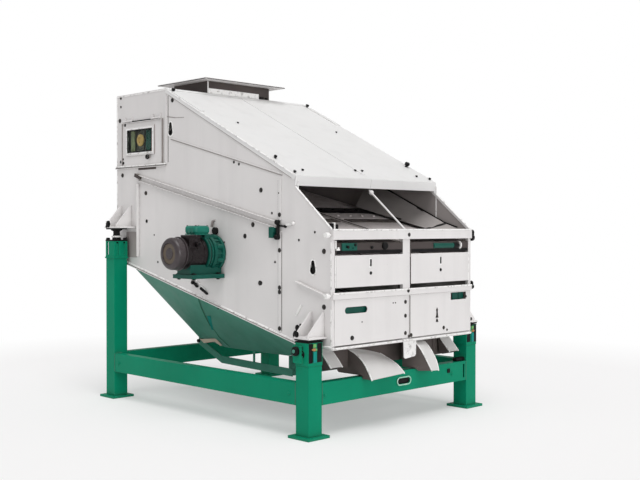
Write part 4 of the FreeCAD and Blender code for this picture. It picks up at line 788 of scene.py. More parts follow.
def hex_pattern(flat):
    """A hexagon bolt on its washer, standing on the origin."""
    washer, head = (turned_piece([(height * flat, radius * flat) for height, radius in profile], sides=sides)
                    for profile, sides in ((((0, 1.45), (0.16, 1.45), (0.22, 1.34)), 18),
                                           (((0.16, 0.95), (0.62, 0.95), (0.74, 0.82)), 6)))
    return join([washer, head])


def scattered(pattern, spots):
    """One piece made of copies of a pattern: each spot is a place, where it faces and its size."""
    copies = []
    for place, facing, size in spots:
        twin = copy_of(pattern)
        twin.scale = (size, size, size)
        settle(twin)
        twin.rotation_euler = TURNS[facing] if isinstance(facing, str) else facing
        twin.location = place
        copies.append(settle(twin))
    return join(copies)


bolt = hex_pattern(1.0)
HEAD_SPAN = 2.75  # the width of a packed bolt's washer, as a multiple of the size given here


def bolts_for(node):
    """Where the bolts of a packed set stand, where they face and their sizes."""
    spots = []
    for solid, low, high in loose_solids(merged_copy(node)):
        middle, size = (low + high) / 2, high - low
        thin = min(range(3), key=lambda i: size[i])
        foot = middle.copy()
        if thin == 0:
            facing, foot.x = "+X", middle.x - size.x / 2
        elif thin == 1:
            facing = "-Y" if middle.y < 0 else "+Y"
            foot.y = middle.y - math.copysign(size.y / 2, middle.y)
        else:
            facing, foot.z = "+Z", middle.z - size.z / 2
        spots.append((foot, facing, max(size) / HEAD_SPAN))
        drop(solid)
    return spots


fit(scattered(bolt, bolts_for("casing_bolts")), "casing_bolt_heads", "sieve_body", *BOLT,
    stands_for=("casing_bolts",))
stand_spots = bolts_for("frame_bolts")
CUP_BOLT = 0.012  # bolts of this size and over sit on the cups
fit(scattered(bolt, [spot for spot in stand_spots if spot[2] < CUP_BOLT]), "beam_bolt_heads", "stand",
    *BEAM_GREEN, stands_for=("frame_bolts",))
fit(scattered(bolt, [spot for spot in stand_spots if spot[2] >= CUP_BOLT]), "cup_bolt_heads", "stand",
    *BLACK_BOLT, stands_for=("frame_bolts",))

# Screws and pins on each side wall (x, z, flat in mm)
WALL_SCREWS = ((606, 1322, 6), (546, 1210, 5), (572, 933, 5), (769, 1059, 5), (895, 1103, 5),
               (443, 809, 10), (256, 1501, 6), (210, 1515, 6), (-983, 2002, 7), (-983, 1943, 6),
               (-985, 1572, 7), (-513, 1549, 7), (-703, 1355, 5), (-600, 1080, 4), (-560, 905, 5),
               (120, 1040, 4), (60, 640, 4))
screws = [((x * MM, side * HALF_WIDTH, z * MM), OUTWARD[side], flat * MM)
          for x, z, flat in WALL_SCREWS for side in SIDES]
fit(scattered(bolt, screws), "wall_screws", "sieve_body", *BOLT)


# Side walls

def side_details(side):
    """The strips, catches and plugs seen on a side wall."""
    out = OUTWARD[side]
    name = SIDE_NAME[side]
    seam_fall = math.tan(DECK_ANGLE + math.radians(0.9))

    def on_wall(x, z, off):
        """A place at a distance from the wall's outer face."""
        return (x, side * (HALF_WIDTH + off), z)

    # Bright bars along the wall's edges and folds, in the lighter edge enamel: painted highlight lines
    edges = [side_bead((-1.0250, 0.922), (0.783, 0.487), 0.012, side),
             side_bead((0.783, 0.487), (1.020, 0.487), 0.010, side),
             side_bead((-1.024, 1.536), (-0.462, 1.536), 0.009, side, HALF_WIDTH + 0.012),
             side_bead((-0.452, 2.006), (0.735, 1.4195), 0.007, side, HALF_WIDTH + 0.002),
             wall_bar((-1.026, 0.915), (-1.026, 1.516), 0.008, 0.003, side),
             wall_bar((-1.026, 1.535), (-1.026, 2.012), 0.008, 0.003, side),
             wall_bar((-1.0295, 2.011), (-0.470, 2.011), 0.008, 0.003, side),
             wall_bar((1.019, 0.492), (1.019, 0.690), 0.010, 0.003, side),
             wall_bar((1.019, 0.760), (1.019, 1.050), 0.010, 0.003, side)]
    fit(ease(join(edges), 0.001), "edge_strips_" + name, "sieve_body", *HIGHLIGHT_WHITE)

    gaps = [wall_bar((-0.777, 1.5155), (-0.578, 1.5155), 0.015, 0.0012, side),
            wall_bar((-1.026, 1.5285), (-0.470, 1.5285), 0.003, 0.0170, side),
            wall_bar((-0.4445, 1.545), (-0.4445, 1.968), 0.004, 0.0010, side),
            wall_bar((0.599, 0.545), (0.599, 1.100), 0.003, 0.0010, side),
            wall_bar((0.629, 0.545), (0.629, 1.100), 0.003, 0.0010, side),
            wall_bar((0.599, 1.175), (0.599, 1.395), 0.003, 0.0010, side),
            wall_bar((-0.795, 1.476), (-0.737, 1.456), 0.022, 0.0215, side)]
    fit(join(gaps), "shadow_gaps_" + name, "sieve_body", *DEEP_SHADE)
    # Dark lines along the wall's trims and joints; the last, under the hood's edge, is a painted shadow line
    seam_and_shadow_lines = [wall_bar((-0.415, 1.6895), (0.633, 1.6895 - 1.048 * seam_fall), 0.004, 0.0035, side),
             wall_bar((-0.467, 1.8380), (-0.370, 1.8230), 0.006, 0.0010, side),
             wall_bar((-0.370, 1.8230), (-0.277, 1.8180), 0.004, 0.0010, side),
             wall_bar((-0.440, 1.9730), (0.710, 1.4040), 0.003, 0.0035, side)]
    fit(join(seam_and_shadow_lines), "wall_seam_and_shadow_lines_" + name, "sieve_body", *INNER)

    catch = block((0.043, 0.026, 0.062), on_wall(0.5675, 1.100, 0.0135))
    catch = carve(catch, block((0.012, 0.03, 0.03), on_wall(0.589, 1.086, 0.020)))
    fit(ease(catch, 0.005, 3), "clamp_block_" + name, "sieve_body", *DARK_GREEN)
    hook = [turned_piece(((0, 0.014), (0.02, 0.014), (0.024, 0.009)), on_wall(0.606, 1.158, 0.004), out),
            block((0.016, 0.012, 0.080), on_wall(0.612, 1.112, 0.014)),
            turned_piece(((0, 0.015), (0.022, 0.015), (0.028, 0.010)), on_wall(0.606, 1.074, 0.004), out),
            block((0.040, 0.006, 0.010), on_wall(0.637, 1.137, 0.011), (0, math.radians(4), 0)),
            turned_piece(((0, 0.008), (0.012, 0.008), (0.014, 0.005)), on_wall(0.664, 1.134, 0.001), out)]
    fit(ease(join(hook), 0.002), "clamp_hook_" + name, "sieve_body", *BLACK)
    arm = [block((0.062, 0.008, 0.013), on_wall(0.695, 1.146, 0.0045), (0, math.radians(-6), 0)),
           turned_piece(((0, 0.010), (0.010, 0.010), (0.013, 0.007)), on_wall(0.728, 1.152, 0.001), out)]
    fit(ease(join(arm), 0.002), "clamp_arm_" + name, "sieve_body", *HIGHLIGHT_WHITE)

    fin = [block((0.006, 0.016, 0.036), on_wall(0.012, 1.149, 0.008), (0, math.radians(12), 0)),
           block((0.026, 0.010, 0.008), on_wall(0.020, 1.168, 0.005), (0, math.radians(-14), 0))]
    fit(ease(join(fin), 0.0015), "cable_clip_" + name, "sieve_body", *INNER)
    strap = [wall_bar((-0.196, 0.793), (-0.150, 0.776), 0.017, 0.010, side),
             wall_bar((-0.158, 0.782), (-0.132, 0.762), 0.012, 0.018, side),
             wall_bar((-0.108, 0.757), (-0.078, 0.741), 0.016, 0.010, side),
             wall_bar((-0.080, 0.745), (-0.036, 0.722), 0.011, 0.014, side),
             turned_piece(((0, 0.011), (0.016, 0.011), (0.019, 0.007)), on_wall(-0.178, 0.787, 0.001), out)]
    fit(ease(join(strap), 0.003), "lower_strap_" + name, "sieve_body", *BLACK_BOLT)
    # White edges on the strap: painted highlights
    strap_highlights = [wall_bar((-0.150, 0.800), (-0.112, 0.782), 0.008, 0.006, side),
              wall_bar((-0.104, 0.770), (-0.060, 0.748), 0.006, 0.005, side)]
    fit(ease(join(strap_highlights), 0.001), "strap_highlights_" + name, "sieve_body", *HIGHLIGHT_WHITE)

    # A darker plate on the wall behind the inlet spring, where the bracket's shelf shades it: painted shade
    shelf_shade_plate = block((0.118, 0.004, 0.167), on_wall(-0.856, 1.0145, 0.0025))
    fit(ease(shelf_shade_plate, 0.001), "spring_shade_plate_" + name, "sieve_body", *INNER)


for side in SIDES:
    side_details(side)


def deck_top(x):
    """Height of the upper sieves' top at a place along the machine."""
    return UPPER_DECK_Z + 0.060 + (FRONT_X - x) * math.tan(DECK_ANGLE)


# The sloping guides' bends: along the machine, their foot's distance from the middle, their head's height
GUIDE_X = (0.18, 0.28, 0.828, 0.93)
GUIDE_FOOT_Y = (0.470, 0.470, 0.470, 0.585)
GUIDE_HEAD_Z = (1.4582, 1.412, 1.1585, 1.128)
LIP_Y = HALF_WIDTH - 0.010


def mouth_details(side):
    """What the mouth shows on a side: a sloping guide with its bands, a rim and post, and strips."""
    name = SIDE_NAME[side]
    foot = [(x, side * y, deck_top(x) + 0.020) for x, y in zip(GUIDE_X, GUIDE_FOOT_Y)]
    head = [(x, side * (HALF_WIDTH - 0.007), z) for x, z in zip(GUIDE_X, GUIDE_HEAD_Z)]
    guide = ruled(foot, head, 30, 6, 0.003)
    fit(guide, "deck_seal_" + name, "sieve_body", "inner_steel", finish["deck_guide"])

    def on_guide(share, rise):
        """A place on the sloping guide, a little above it."""
        spot = along(foot, share).lerp(along(head, share), rise)
        return (spot.x, spot.y, spot.z + 0.003)

    bands = [ruled([on_guide(foot_a, 0), on_guide(head_a, 1)], [on_guide(foot_b, 0), on_guide(head_b, 1)],
                   8, 2, 0.002)
             for foot_a, foot_b, head_a, head_b in ((0.40, 0.49, 0.58, 0.65), (0.76, 0.79, 0.88, 0.90))]
    fit(join(bands), "deck_seal_bands_" + name, "sieve_body", *SEAL_AND_SHADE)
    bends = [(x, side * LIP_Y, z + 0.002) for x, z in zip(GUIDE_X[1:], GUIDE_HEAD_Z[1:])]
    lip = [bar_between(a, b, 0.006, 0.009) for a, b in zip(bends, bends[1:])]
    fit(ease(join(lip), 0.0015, 1), "deck_seal_lip_" + name, "sieve_body", *SEAL_AND_SHADE)
    rim = side_bead((0.740, 1.3555), (1.0225, FRONT_TOP), 0.009, side, HALF_WIDTH - 0.002)
    fit(ease(rim, 0.001, 1), "mouth_rim_" + name, "sieve_body", *HIGHLIGHT_WHITE)
    post = block((0.009, 0.003, 0.200), (0.757, side * 0.6050, 1.290))
    fit(ease(post, 0.001, 1), "mouth_post_" + name, "sieve_body", *HIGHLIGHT_WHITE)

    y = COLUMN_Y[name] + SIEVE_WIDTH / 2
    for start, end, thick, look, slot in ((0.505, 0.580, 0.006, "deep", "spring_rubber"),
                                          (0.600, 0.740, 0.003, "sieve", "sieve_steel"),
                                          (0.765, 0.895, 0.007, "knob", "spring_rubber")):
        middle = -(start + end) / 2
        strip = block((end - start, SIEVE_WIDTH - 0.03, thick),
                      (middle, 0, FRAME_HEIGHT + SIEVE_THICK + 0.0006 + thick / 2))
        nuts = [turned_piece(((0, 0.009), (0.005, 0.009), (0.007, 0.006)),
                             (middle, shift, FRAME_HEIGHT + SIEVE_THICK + thick), "+Z", 16)
                for shift in (-0.22, -0.11, 0, 0.11, 0.22)]
        strip = join([ease(strip, 0.0012, 1)] + nuts)
        fit(on_deck(strip, UPPER_DECK_Z, y), "deck_strip_%d_%s" % (start * 1000, name),
            "upper_cassette_" + name, slot, finish[look])


for side in SIDES:
    mouth_details(side)
corner = [block((0.026, 0.022, 0.031), (1.004, -0.5960, 1.1345)),
          block((0.026, 0.012, 0.027), (1.004, -0.5560, 1.1325))]
fit(ease(join(corner), 0.005, 3), "mouth_corner_stop", "sieve_body", *BLACK)
tab = block((0.020, 0.012, 0.036), (1.004, -0.5760, 1.1370))
fit(ease(tab, 0.003), "mouth_corner_tab", "sieve_body", *HIGHLIGHT_WHITE)


# Knobs near the hood's side edges, and fine lines beside its ridge

def on_hood(x, lift=0.0):
    """Height of the hood's top at a place along the machine."""
    return CASING_TOP + 0.003 - (x - RIDGE_X) * math.tan(HOOD_ANGLE) + lift


KNOB_X = 0.533
KNOB_PROFILE = ((0, 0.009), (0.010, 0.009), (0.012, 0.016), (0.026, 0.017), (0.031, 0.012))
KNOB_SHARE = {-1: 0.62, 1: 1.0}
for side, share in KNOB_SHARE.items():
    stalk = turned_piece([(height * share, radius * share) for height, radius in KNOB_PROFILE],
                         (KNOB_X, side * 0.575, on_hood(KNOB_X)), (0, HOOD_ANGLE, 0), 24)
    fit(stalk, "hood_edge_knob_" + SIDE_NAME[side], "sieve_body", *BLACK, stands_for=("hood_knobs",))
hairlines = [bar_between((-0.375, side * 0.600, on_hood(-0.375, 0.0004)),
                         (-0.125, side * 0.600, on_hood(-0.125, 0.0004)), 0.004, 0.0012) for side in SIDES]
fit(join(hairlines), "hood_hairlines", "sieve_body", *DEEP_SHADE)


# Pear-shaped holes in the side walls

def pear(x, z, low, neck, rise):
    """The outline of a pear-shaped hole: a round foot with a narrower head above it."""
    lean = math.asin((low - neck) / rise)
    points = []
    for i in range(17):
        turn = math.pi - lean + (math.pi + 2 * lean) * i / 16
        points.append((x + low * math.cos(turn), z + low * math.sin(turn)))
    for i in range(11):
        turn = lean + (math.pi - 2 * lean) * i / 10
        points.append((x + neck * math.cos(turn), z + rise + neck * math.sin(turn)))
    return points


def pear_rings(side, x, z, low, neck, rise, name, grow):
    """The pressed white rim around a pear-shaped hole, lightened as a painted highlight, the dark sealing
    ring in it, and a dark plate behind it: painted shade.
    """
    def pear_plate(wider, thick, middle):
        """A plate of the hole's shape, wider all round, with its middle at a depth."""
        return cut_plate(pear(x, z, low + wider, neck + wider, rise), thick, (0, side * middle, 0))

    for outer, inner, thick, label, look in ((grow + 0.008, grow - 0.001, 0.0022, "_rim_", HIGHLIGHT_WHITE),
                                             (grow, -0.006, 0.0016, "_seal_", SEAL_AND_SHADE)):
        middle = HALF_WIDTH + thick / 2
        ring = carve(pear_plate(outer, thick, middle), pear_plate(inner, 4 * thick, middle))
        fit(ease(ring, 0.0006, 1), name + label + SIDE_NAME[side], "sieve_body", *look)
    shade_plate = pear_plate(0.006, 0.002, HALF_WIDTH - 0.0065)
    fit(ease(shade_plate, 0.0005, 1), name + "_back_" + SIDE_NAME[side], "sieve_body", *SEAL_AND_SHADE)


for side in SIDES:
    pear_rings(side, 0.880, 0.895, 0.024, 0.015, 0.042, "clamp_hole", -0.002)
    pear_rings(side, -0.419, 1.735, 0.017, 0.008, 0.050, "hood_hole", 0.006)


# What the window shows behind it

FLAP_X, FLAP_Z = -0.755, 1.705
green_bar = block((0.073, 0.008, 0.316), (-0.6625, -0.600, 1.680))
green_bar = carve(green_bar, block((0.006, 0.01, 0.20), (-0.640, -0.603, 1.70)),
                  block((0.008, 0.01, 0.05), (-0.680, -0.603, 1.735)))
fit(ease(green_bar, 0.002), "window_green_bar", "sieve_body", *DARK_GREEN)
rack = block((0.036, 0.008, 0.316), (-0.852, -0.600, 1.680))
for i in range(9):
    rack = carve(rack, block((0.020, 0.004, 0.008), (-0.845, -0.6035, 1.625 + 0.019 * i)))
fit(ease(rack, 0.001), "window_rack", "sieve_body", "inner_steel", finish["olive"])
# A copper-toned strip beside the window's rim: painted light and shade along that edge
copper_edge = block((0.009, 0.0024, 0.100), (-0.601, -0.6239, 1.668))
fit(ease(copper_edge, 0.001), "window_copper_edge", "service_door", "inner_steel", finish["copper"])
ring = turned_piece(((0, 0.040), (0.005, 0.040), (0.0065, 0.037), (0.0065, 0.020), (0.002, 0.018)),
                    (FLAP_X, -0.6052, FLAP_Z), "-Y", 32)
fit(ring, "window_bush_ring", "sieve_body", "inner_steel", finish["brass"])


# Service door: its window's rim and seal, screws, the gap around it and its knob

def frame_of(left, right, low, high, wide, thick, y):
    """A rectangular frame of four bars, its outer edges given."""
    bars = [block((right - left, thick, wide), ((left + right) / 2, y, low + wide / 2)),
            block((right - left, thick, wide), ((left + right) / 2, y, high - wide / 2)),
            block((wide, thick, high - low - 2 * wide), (left + wide / 2, y, (low + high) / 2)),
            block((wide, thick, high - low - 2 * wide), (right - wide / 2, y, (low + high) / 2))]
    return join(bars)


def around(node, beside, above):
    """The left, right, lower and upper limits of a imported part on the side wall, moved outwards."""
    return (limit(node, LOW, X) - beside, limit(node, HIGH, X) + beside,
            limit(node, LOW, Z) - above, limit(node, HIGH, Z) + above)


window_rim = frame_of(*around("window_pane", 0.0065, 0.006), 0.0100, 0.003, -0.6242)
fit(ease(window_rim, 0.001, 1), "window_rim", "service_door", *HIGHLIGHT_WHITE)
window_seal = frame_of(*around("window_pane", -0.004, -0.004), 0.0095, 0.002, -0.6227)
fit(ease(window_seal, 0.0006, 1), "window_seal", "service_door", *SEAL_AND_SHADE)
DOOR_LEFT, DOOR_RIGHT = limit("service_door", LOW, X), limit("service_door", HIGH, X)
DOOR_LOW, DOOR_TOP, DOOR_GAP = limit("service_door", LOW, Z), 1.8275, 0.003
foot_edge = side_bead((DOOR_LEFT + DOOR_GAP, DOOR_LOW + 0.0025), (DOOR_RIGHT - DOOR_GAP, DOOR_LOW + 0.0025),
                      0.006, -1, 0.6225)
fit(ease(foot_edge, 0.0005, 1), "door_foot_edge", "service_door", *HIGHLIGHT_WHITE)
door_screws = [((x * MM, -0.6148, z * MM), "-Y", flat * MM) for x, z, flat in
               ((-926, 1815, 7), (-509, 1549, 6), (-946, 1562, 7), (-948, 1588, 5))]
fit(scattered(bolt, door_screws), "door_screws", "service_door", *BOLT)
gap = frame_of(DOOR_LEFT - DOOR_GAP, DOOR_RIGHT + DOOR_GAP, DOOR_LOW - DOOR_GAP, DOOR_TOP + DOOR_GAP, 0.003,
               0.001, -0.6107)
fit(gap, "door_gap", "sieve_body", *INNER)
top_shade = block((0.300, 0.004, 0.006), (-0.730, -0.6175, 1.8330))
fit(top_shade, "door_top_shade", "sieve_body", "inner_steel", finish["knob"])
knob_cap = turned_piece(((0, 0.0165), (0.008, 0.0165), (0.011, 0.012)), (-0.645, -0.6290, 1.589), "-Y", 24)
fit(knob_cap, "door_knob_cap", "service_door", *BLACK)


# Front: brackets in the gap over the panels, slot surrounds and what the holes show

DECK_FACE = limit("upper_cassette_near", HIGH, X)
GAP_X = DECK_FACE / MM


def front_block(y0, y1, z0, z1, x0, x1):
    """A block by its sideways, height and forward limits in millimetres."""
    return block(((x1 - x0) * MM, (y1 - y0) * MM, (z1 - z0) * MM),
                 ((x0 + x1) / 2 * MM, (y0 + y1) / 2 * MM, (z0 + z1) / 2 * MM))


bracket = [front_block(-588, -579, 1004, 1058, 1026.6, 1030),
           front_block(-588, -553, 1004, 1014, 1026.6, 1030),
           front_block(-570, -556, 1004, 1022, 1026.6, 1029)]
fit(ease(join(bracket), 0.0012), "corner_bracket", "upper_cassette_near", *HIGHLIGHT_WHITE)
near_bar = front_block(-539, -421, 1003, 1044, GAP_X - 6, GAP_X + 6)
near_bar = carve(near_bar, disc(0.008, 0.01, (DECK_FACE + 0.006, -0.505, 1.024), TURNS["+X"], 20),
                 disc(0.005, 0.01, (DECK_FACE + 0.006, -0.455, 1.016), TURNS["+X"], 16))
fit(ease(near_bar, 0.003), "near_clamp_bar", "upper_cassette_near", *DARK_GREEN)
plug = turned_piece(((0, 0.022), (0.012, 0.022), (0.018, 0.016)), (DECK_FACE - 0.002, -0.192, 1.026), "+X")
pins = [turned_piece(((0, 0.0085), (0.008, 0.0085), (0.010, 0.006)), (DECK_FACE + 0.001, y, z), "+X", 16)
        for y, z in ((-0.492, 1.022), (-0.436, 1.034), (-0.300, 1.018))]
fit(ease(join([plug] + pins), 0.0008), "near_clamp_pins", "upper_cassette_near", *BLACK)
far_tube = turned_piece(((0, 0.018), (0.190, 0.018)), (DECK_FACE - 0.008, 0.245, 1.021), "+Y", 24)
fit(far_tube, "far_clamp_tube", "upper_cassette_far", *DARK_GREEN)
tip = turned_piece(((0, 0.020), (0.040, 0.020), (0.048, 0.014), (0.058, 0.014)),
                   (DECK_FACE - 0.008, 0.436, 1.021), "+Y", 24)
fit(tip, "far_clamp_tip", "upper_cassette_far", *BLACK)
washer = turned_piece(((0, 0.026), (0.008, 0.026), (0.010, 0.022)), (DECK_FACE - 0.010, 0.494, 1.022),
                      "+Y", 24)
fit(washer, "far_clamp_ring", "upper_cassette_far", *HIGHLIGHT_WHITE)

# Catches in the lower panels' slots, with their white surrounds
SLOT_Z, DOT_Z = 0.933, 0.876
for side in SIDES:
    name, y = SIDE_NAME[side], side * 0.309
    face = limit("lower_panel_" + name, HIGH, X)
    slot = block((0.003, 0.013, 0.040), (face + 0.0005, y, SLOT_Z))
    head = block((0.004, 0.006, 0.030), (face + 0.0020, y + 0.001, SLOT_Z + 0.002))
    dot = turned_piece(((0, 0.0095), (0.0030, 0.0095), (0.0050, 0.0060)), (face - 0.001, y, DOT_Z),
                       "+X", 18)
    fit(ease(join([slot, head, dot]), 0.0008, 1), "panel_catch_" + name, "lower_cassette_" + name, *BLACK)
    rim = block((0.002, 0.022, 0.054), (face - 0.0002, y, SLOT_Z))
    fit(ease(rim, 0.0008, 1), "panel_catch_rim_" + name, "lower_cassette_" + name, *HIGHLIGHT_WHITE)

# The shaded gap above each lower panel, and the flange beside it
for side in SIDES:
    name = SIDE_NAME[side]
    y0, y1 = sorted((side * 576, side * 42))
    shade_bar = front_block(y0, y1, 985.5, 1003.5, 1026.2, 1027.8)
    fit(ease(shade_bar, 0.0005, 1), "gap_shade_" + name, "upper_cassette_" + name, *SEAL_AND_SHADE)
    y0, y1 = sorted((side * 590.5, side * 583))
    flange = front_block(y0, y1, 804, 976, 1026.5, 1029.6)
    fit(ease(flange, 0.001, 1), "panel_flange_" + name, "lower_cassette_" + name, *HIGHLIGHT_WHITE)

# What the hand hole and the slot of the covers show behind them
HAND_HOLE = ((-0.520, 0.645), (-0.320, 0.645), (-0.320, 0.712), (-0.520, 0.712))
fit(ease(cut_plate(HAND_HOLE, 0.003, (1.012, 0, 0), "+X"), 0.0005), "hand_hole_backing", "sieve_body",
    *DARK_GREEN)
slot_back = [front_block(400, 428, 684, 740, 1006, 1012), front_block(424, 432, 684, 740, 1006, 1016)]
fit(ease(join(slot_back), 0.001), "far_slot_shade", "sieve_body", *BLACK)
slot_green = [front_block(446, 500, 686, 738, 1006, 1012), front_block(506, 556, 686, 738, 1006, 1012)]
fit(ease(join(slot_green), 0.002), "far_slot_backing", "sieve_body", *DARK_GREEN)

# Screws, catches and knobs of the front (y, z, flat in mm)
COVER_FACE = limit("lower_covers", HIGH, X)
FRONT_SCREWS = ((276, 636, 6), (276, 600, 7), (276, 576, 6), (372, 512, 5), (-120, 700, 3), (-100, 700, 3),
                (-379, 609, 3), (20, 500, 6), (560, 705, 5), (-459, 527, 9))
screws = [((COVER_FACE, y * MM, z * MM), "+X", flat * MM) for y, z, flat in FRONT_SCREWS]
fit(scattered(bolt, screws), "front_screws", "sieve_body", *BOLT)
CATCH = (((0.268, 0.600), (0.284, 0.600), (0.279, 0.650), (0.273, 0.650)),
         ((0.262, 0.592), (0.290, 0.592), (0.276, 0.612)),
         ((0.264, 0.566), (0.288, 0.566), (0.276, 0.588)))
wedge = [cut_plate(outline, 0.003, (COVER_FACE + 0.001, 0, 0), "+X") for outline in CATCH]
fit(ease(join(wedge), 0.0008, 1), "cover_catch", "sieve_body", *BLACK)
lines = [front_block(-31, -27, 495, 735, 1025, 1026), front_block(27, 31, 495, 735, 1029, 1029.6),
         front_block(-600, 600, 741.5, 744, 1025, 1031), front_block(-590, -40, 490, 492, 1025, 1029.6),
         front_block(40, 590, 490, 492, 1025, 1029.6)]
fit(join(lines), "front_gaps", "sieve_body", *DEEP_SHADE)
strips = [bar_between((1.0355, -0.610, z), (1.0355, 0.610, z), 0.008, 0.008, 45) for z in (1.1150, 0.7725)]
strips.append(bar_between((1.0300, -0.610, 0.478), (1.0300, 0.610, 0.478), 0.009, 0.009, 45))
fit(ease(join(strips), 0.0012), "front_highlights", "sieve_body", *HIGHLIGHT_WHITE)
grip = turned_piece(((0, 0.009), (0.010, 0.009), (0.010, 0.019), (0.014, 0.022), (0.030, 0.022),
                     (0.036, 0.016)), sides=24)
knobs = [((1.018, 0.609, z * MM), "+Y", size)
         for z, size in ((1098, 0.85), (1066, 0.95), (783, 0.7), (561, 0.5), (527, 0.6))]
fit(scattered(grip, knobs), "front_end_knobs", "sieve_body", *BLACK)
drop(grip)


# Rubber springs with their clamps

# White rings at the inlet springs' waists: painted highlights
WAIST_HIGHLIGHT = ((1.062, 0.0325), (1.064, 0.0345), (1.072, 0.0345), (1.074, 0.0325))


def spring_set(end, waist, cup_top):
    """The two rubber springs of an end and what holds them."""
    packed = "springs_" + end
    x, low, high = centre_of(packed, X), limit(packed, LOW, Z), limit(packed, HIGH, Z)
    middle = (low + high) / 2
    profile = ((low, 0.037), (low + 0.012, 0.039), (low + 0.030, 0.030), (middle - 0.02, 0.030),
               (middle, 0.036), (middle + 0.02, 0.030), (high - 0.040, waist), (high - 0.022, waist),
               (high - 0.016, 0.034), (high - 0.013, 0.038), (high - 0.0003, 0.038))
    springs = [turned_piece(profile, (x, side * SPRING_Y, 0), "+Z", 32) for side in SIDES]
    spring = fit(join(springs), packed + "_turned", None, *RUBBER, stands_for=(packed,))
    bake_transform(spring)
    gaskets, waist_highlights, clamps = [], [], []
    for y in (-SPRING_Y, SPRING_Y):
        if end == "inlet":
            gaskets.append(block((0.100, 0.100, 0.009), (x, y, high - 0.0047)))
            waist_highlights.append(turned_piece(WAIST_HIGHLIGHT, (x, y, 0), "+Z", 28))
            for dx, dy in ((-0.040, -0.040), (0.040, -0.040), (0.040, 0.040), (-0.040, 0.040)):
                clamps.append(turned_piece(((cup_top - 0.002, 0.014), (cup_top + 0.016, 0.014),
                                            (cup_top + 0.022, 0.009)), (x + dx, y + dy, 0), "+Z", 18))
            clamps.append(carve(block((0.106, 0.106, 0.009), (x, y, cup_top + 0.0035)),
                                disc(0.040, 0.03, (x, y, cup_top))))
        else:
            gaskets.append(block((0.112, 0.108, 0.008), (x, y, high - 0.0042)))
            clamps.append(carve(block((0.108, 0.108, 0.006), (x, y, cup_top + 0.0025)),
                                disc(0.041, 0.03, (x, y, cup_top))))
    fit(ease(join(gaskets), 0.002), "spring_gaskets_" + end, "sieve_body", *RUBBER)
    if waist_highlights:
        # The rings carry the white edge enamel: a painted highlight at each spring's waist
        collar = fit(join(waist_highlights), "spring_waist_highlights_" + end, None, "rotor_steel", finish["casing_edge"])
        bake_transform(collar)
    fit(ease(join(clamps), 0.0015), "spring_clamps_" + end, "stand", *BLACK)


spring_set("inlet", 0.022, limit("spring_cups", HIGH, Z))
spring_set("discharge", 0.030, 0.515)


# Cups: what their slots show and what is added on their sides

CUP_FACE, CUP_OUT = limit("spring_cups", HIGH, X), limit("spring_cups", HIGH, Y)


def cup_details(side):
    """The cheek, pad and coloured spots of painted reflection on a discharge cup, and the shield and collar
    of an inlet cup.
    """
    name, out = SIDE_NAME[side], OUTWARD[side]
    cheek = carve(block((0.060, 0.020, 0.092), (0.905, side * (CUP_OUT + 0.009), 0.452)),
                  block((0.010, 0.03, 0.03), (0.934, side * (CUP_OUT + 0.015), 0.480)))
    fit(ease(cheek, 0.004, 3), "cup_cheek_" + name, "stand", *BEAM_GREEN)
    pad = turned_piece(((0, 0.026), (0.012, 0.026), (0.017, 0.020), (0.017, 0.010), (0.020, 0.009)),
                       (0.902, side * (CUP_OUT + 0.0185), 0.470), out, 28)
    fit(pad, "cup_pad_" + name, "stand", *BLACK)

    def face_plate(y0, y1, z0, z1, face):
        """A plate on the cup's front face up to a place, its y measured from the outer edge."""
        low, high = sorted((side * (CUP_OUT / MM - y0), side * (CUP_OUT / MM - y1)))
        return front_block(low, high, z0, z1, CUP_FACE / MM - 0.1, face)

    shades = [face_plate(1, 28, 408, 512, 977.7), face_plate(63, 99, 410, 512, 977.7)]
    fit(ease(join(shades), 0.0007, 1), "cup_front_shades_" + name, "stand", *BLACK)
    # Teal, green and orange spots on the cup's front: painted reflections
    teal_glint = ease(face_plate(32, 56, 409, 468, 984), 0.006, 3)
    fit(teal_glint, "cup_front_teal_glint_" + name, "stand", "frame_green", finish["teal"])
    leaf = ease(join([face_plate(32, 54, 490, 509, 982), face_plate(50, 62, 472, 484, 981)]), 0.005, 3)
    fit(leaf, "cup_front_green_glint_" + name, "stand", "frame_green", finish["leaf"])
    spot = ease(join([face_plate(30, 48, 472, 486, 983), face_plate(22, 32, 476, 483, 981)]), 0.003, 3)
    fit(spot, "cup_front_orange_glint_" + name, "stand", "rotor_steel", finish["orange"])
    button = turned_piece(((0, 0.010), (0.003, 0.010), (0.004, 0.007)),
                          (0.902, side * (CUP_OUT + 0.0382), 0.470), out, 20)
    fit(button, "cup_pad_button_" + name, "stand", "frame_green", finish["hopper"])
    shield = block((0.003, 0.090, 0.080), (-0.8795, side * SPRING_Y, 0.984))
    fit(ease(shield, 0.001), "cup_shield_" + name, "stand", *BEAM_GREEN)
    lip = frame_of(-0.981, -0.869, 0, 0.112, 0.0045, 0.010, 0)
    lip.rotation_euler = (math.pi / 2, 0, 0)
    settle(lip)
    lip.location = (0, side * SPRING_Y + 0.056, 0.929)
    fit(ease(settle(lip), 0.0015), "cup_collar_" + name, "stand", *BEAM_GREEN)


for side in SIDES:
    cup_details(side)


# Bolts and tabs of the spring brackets

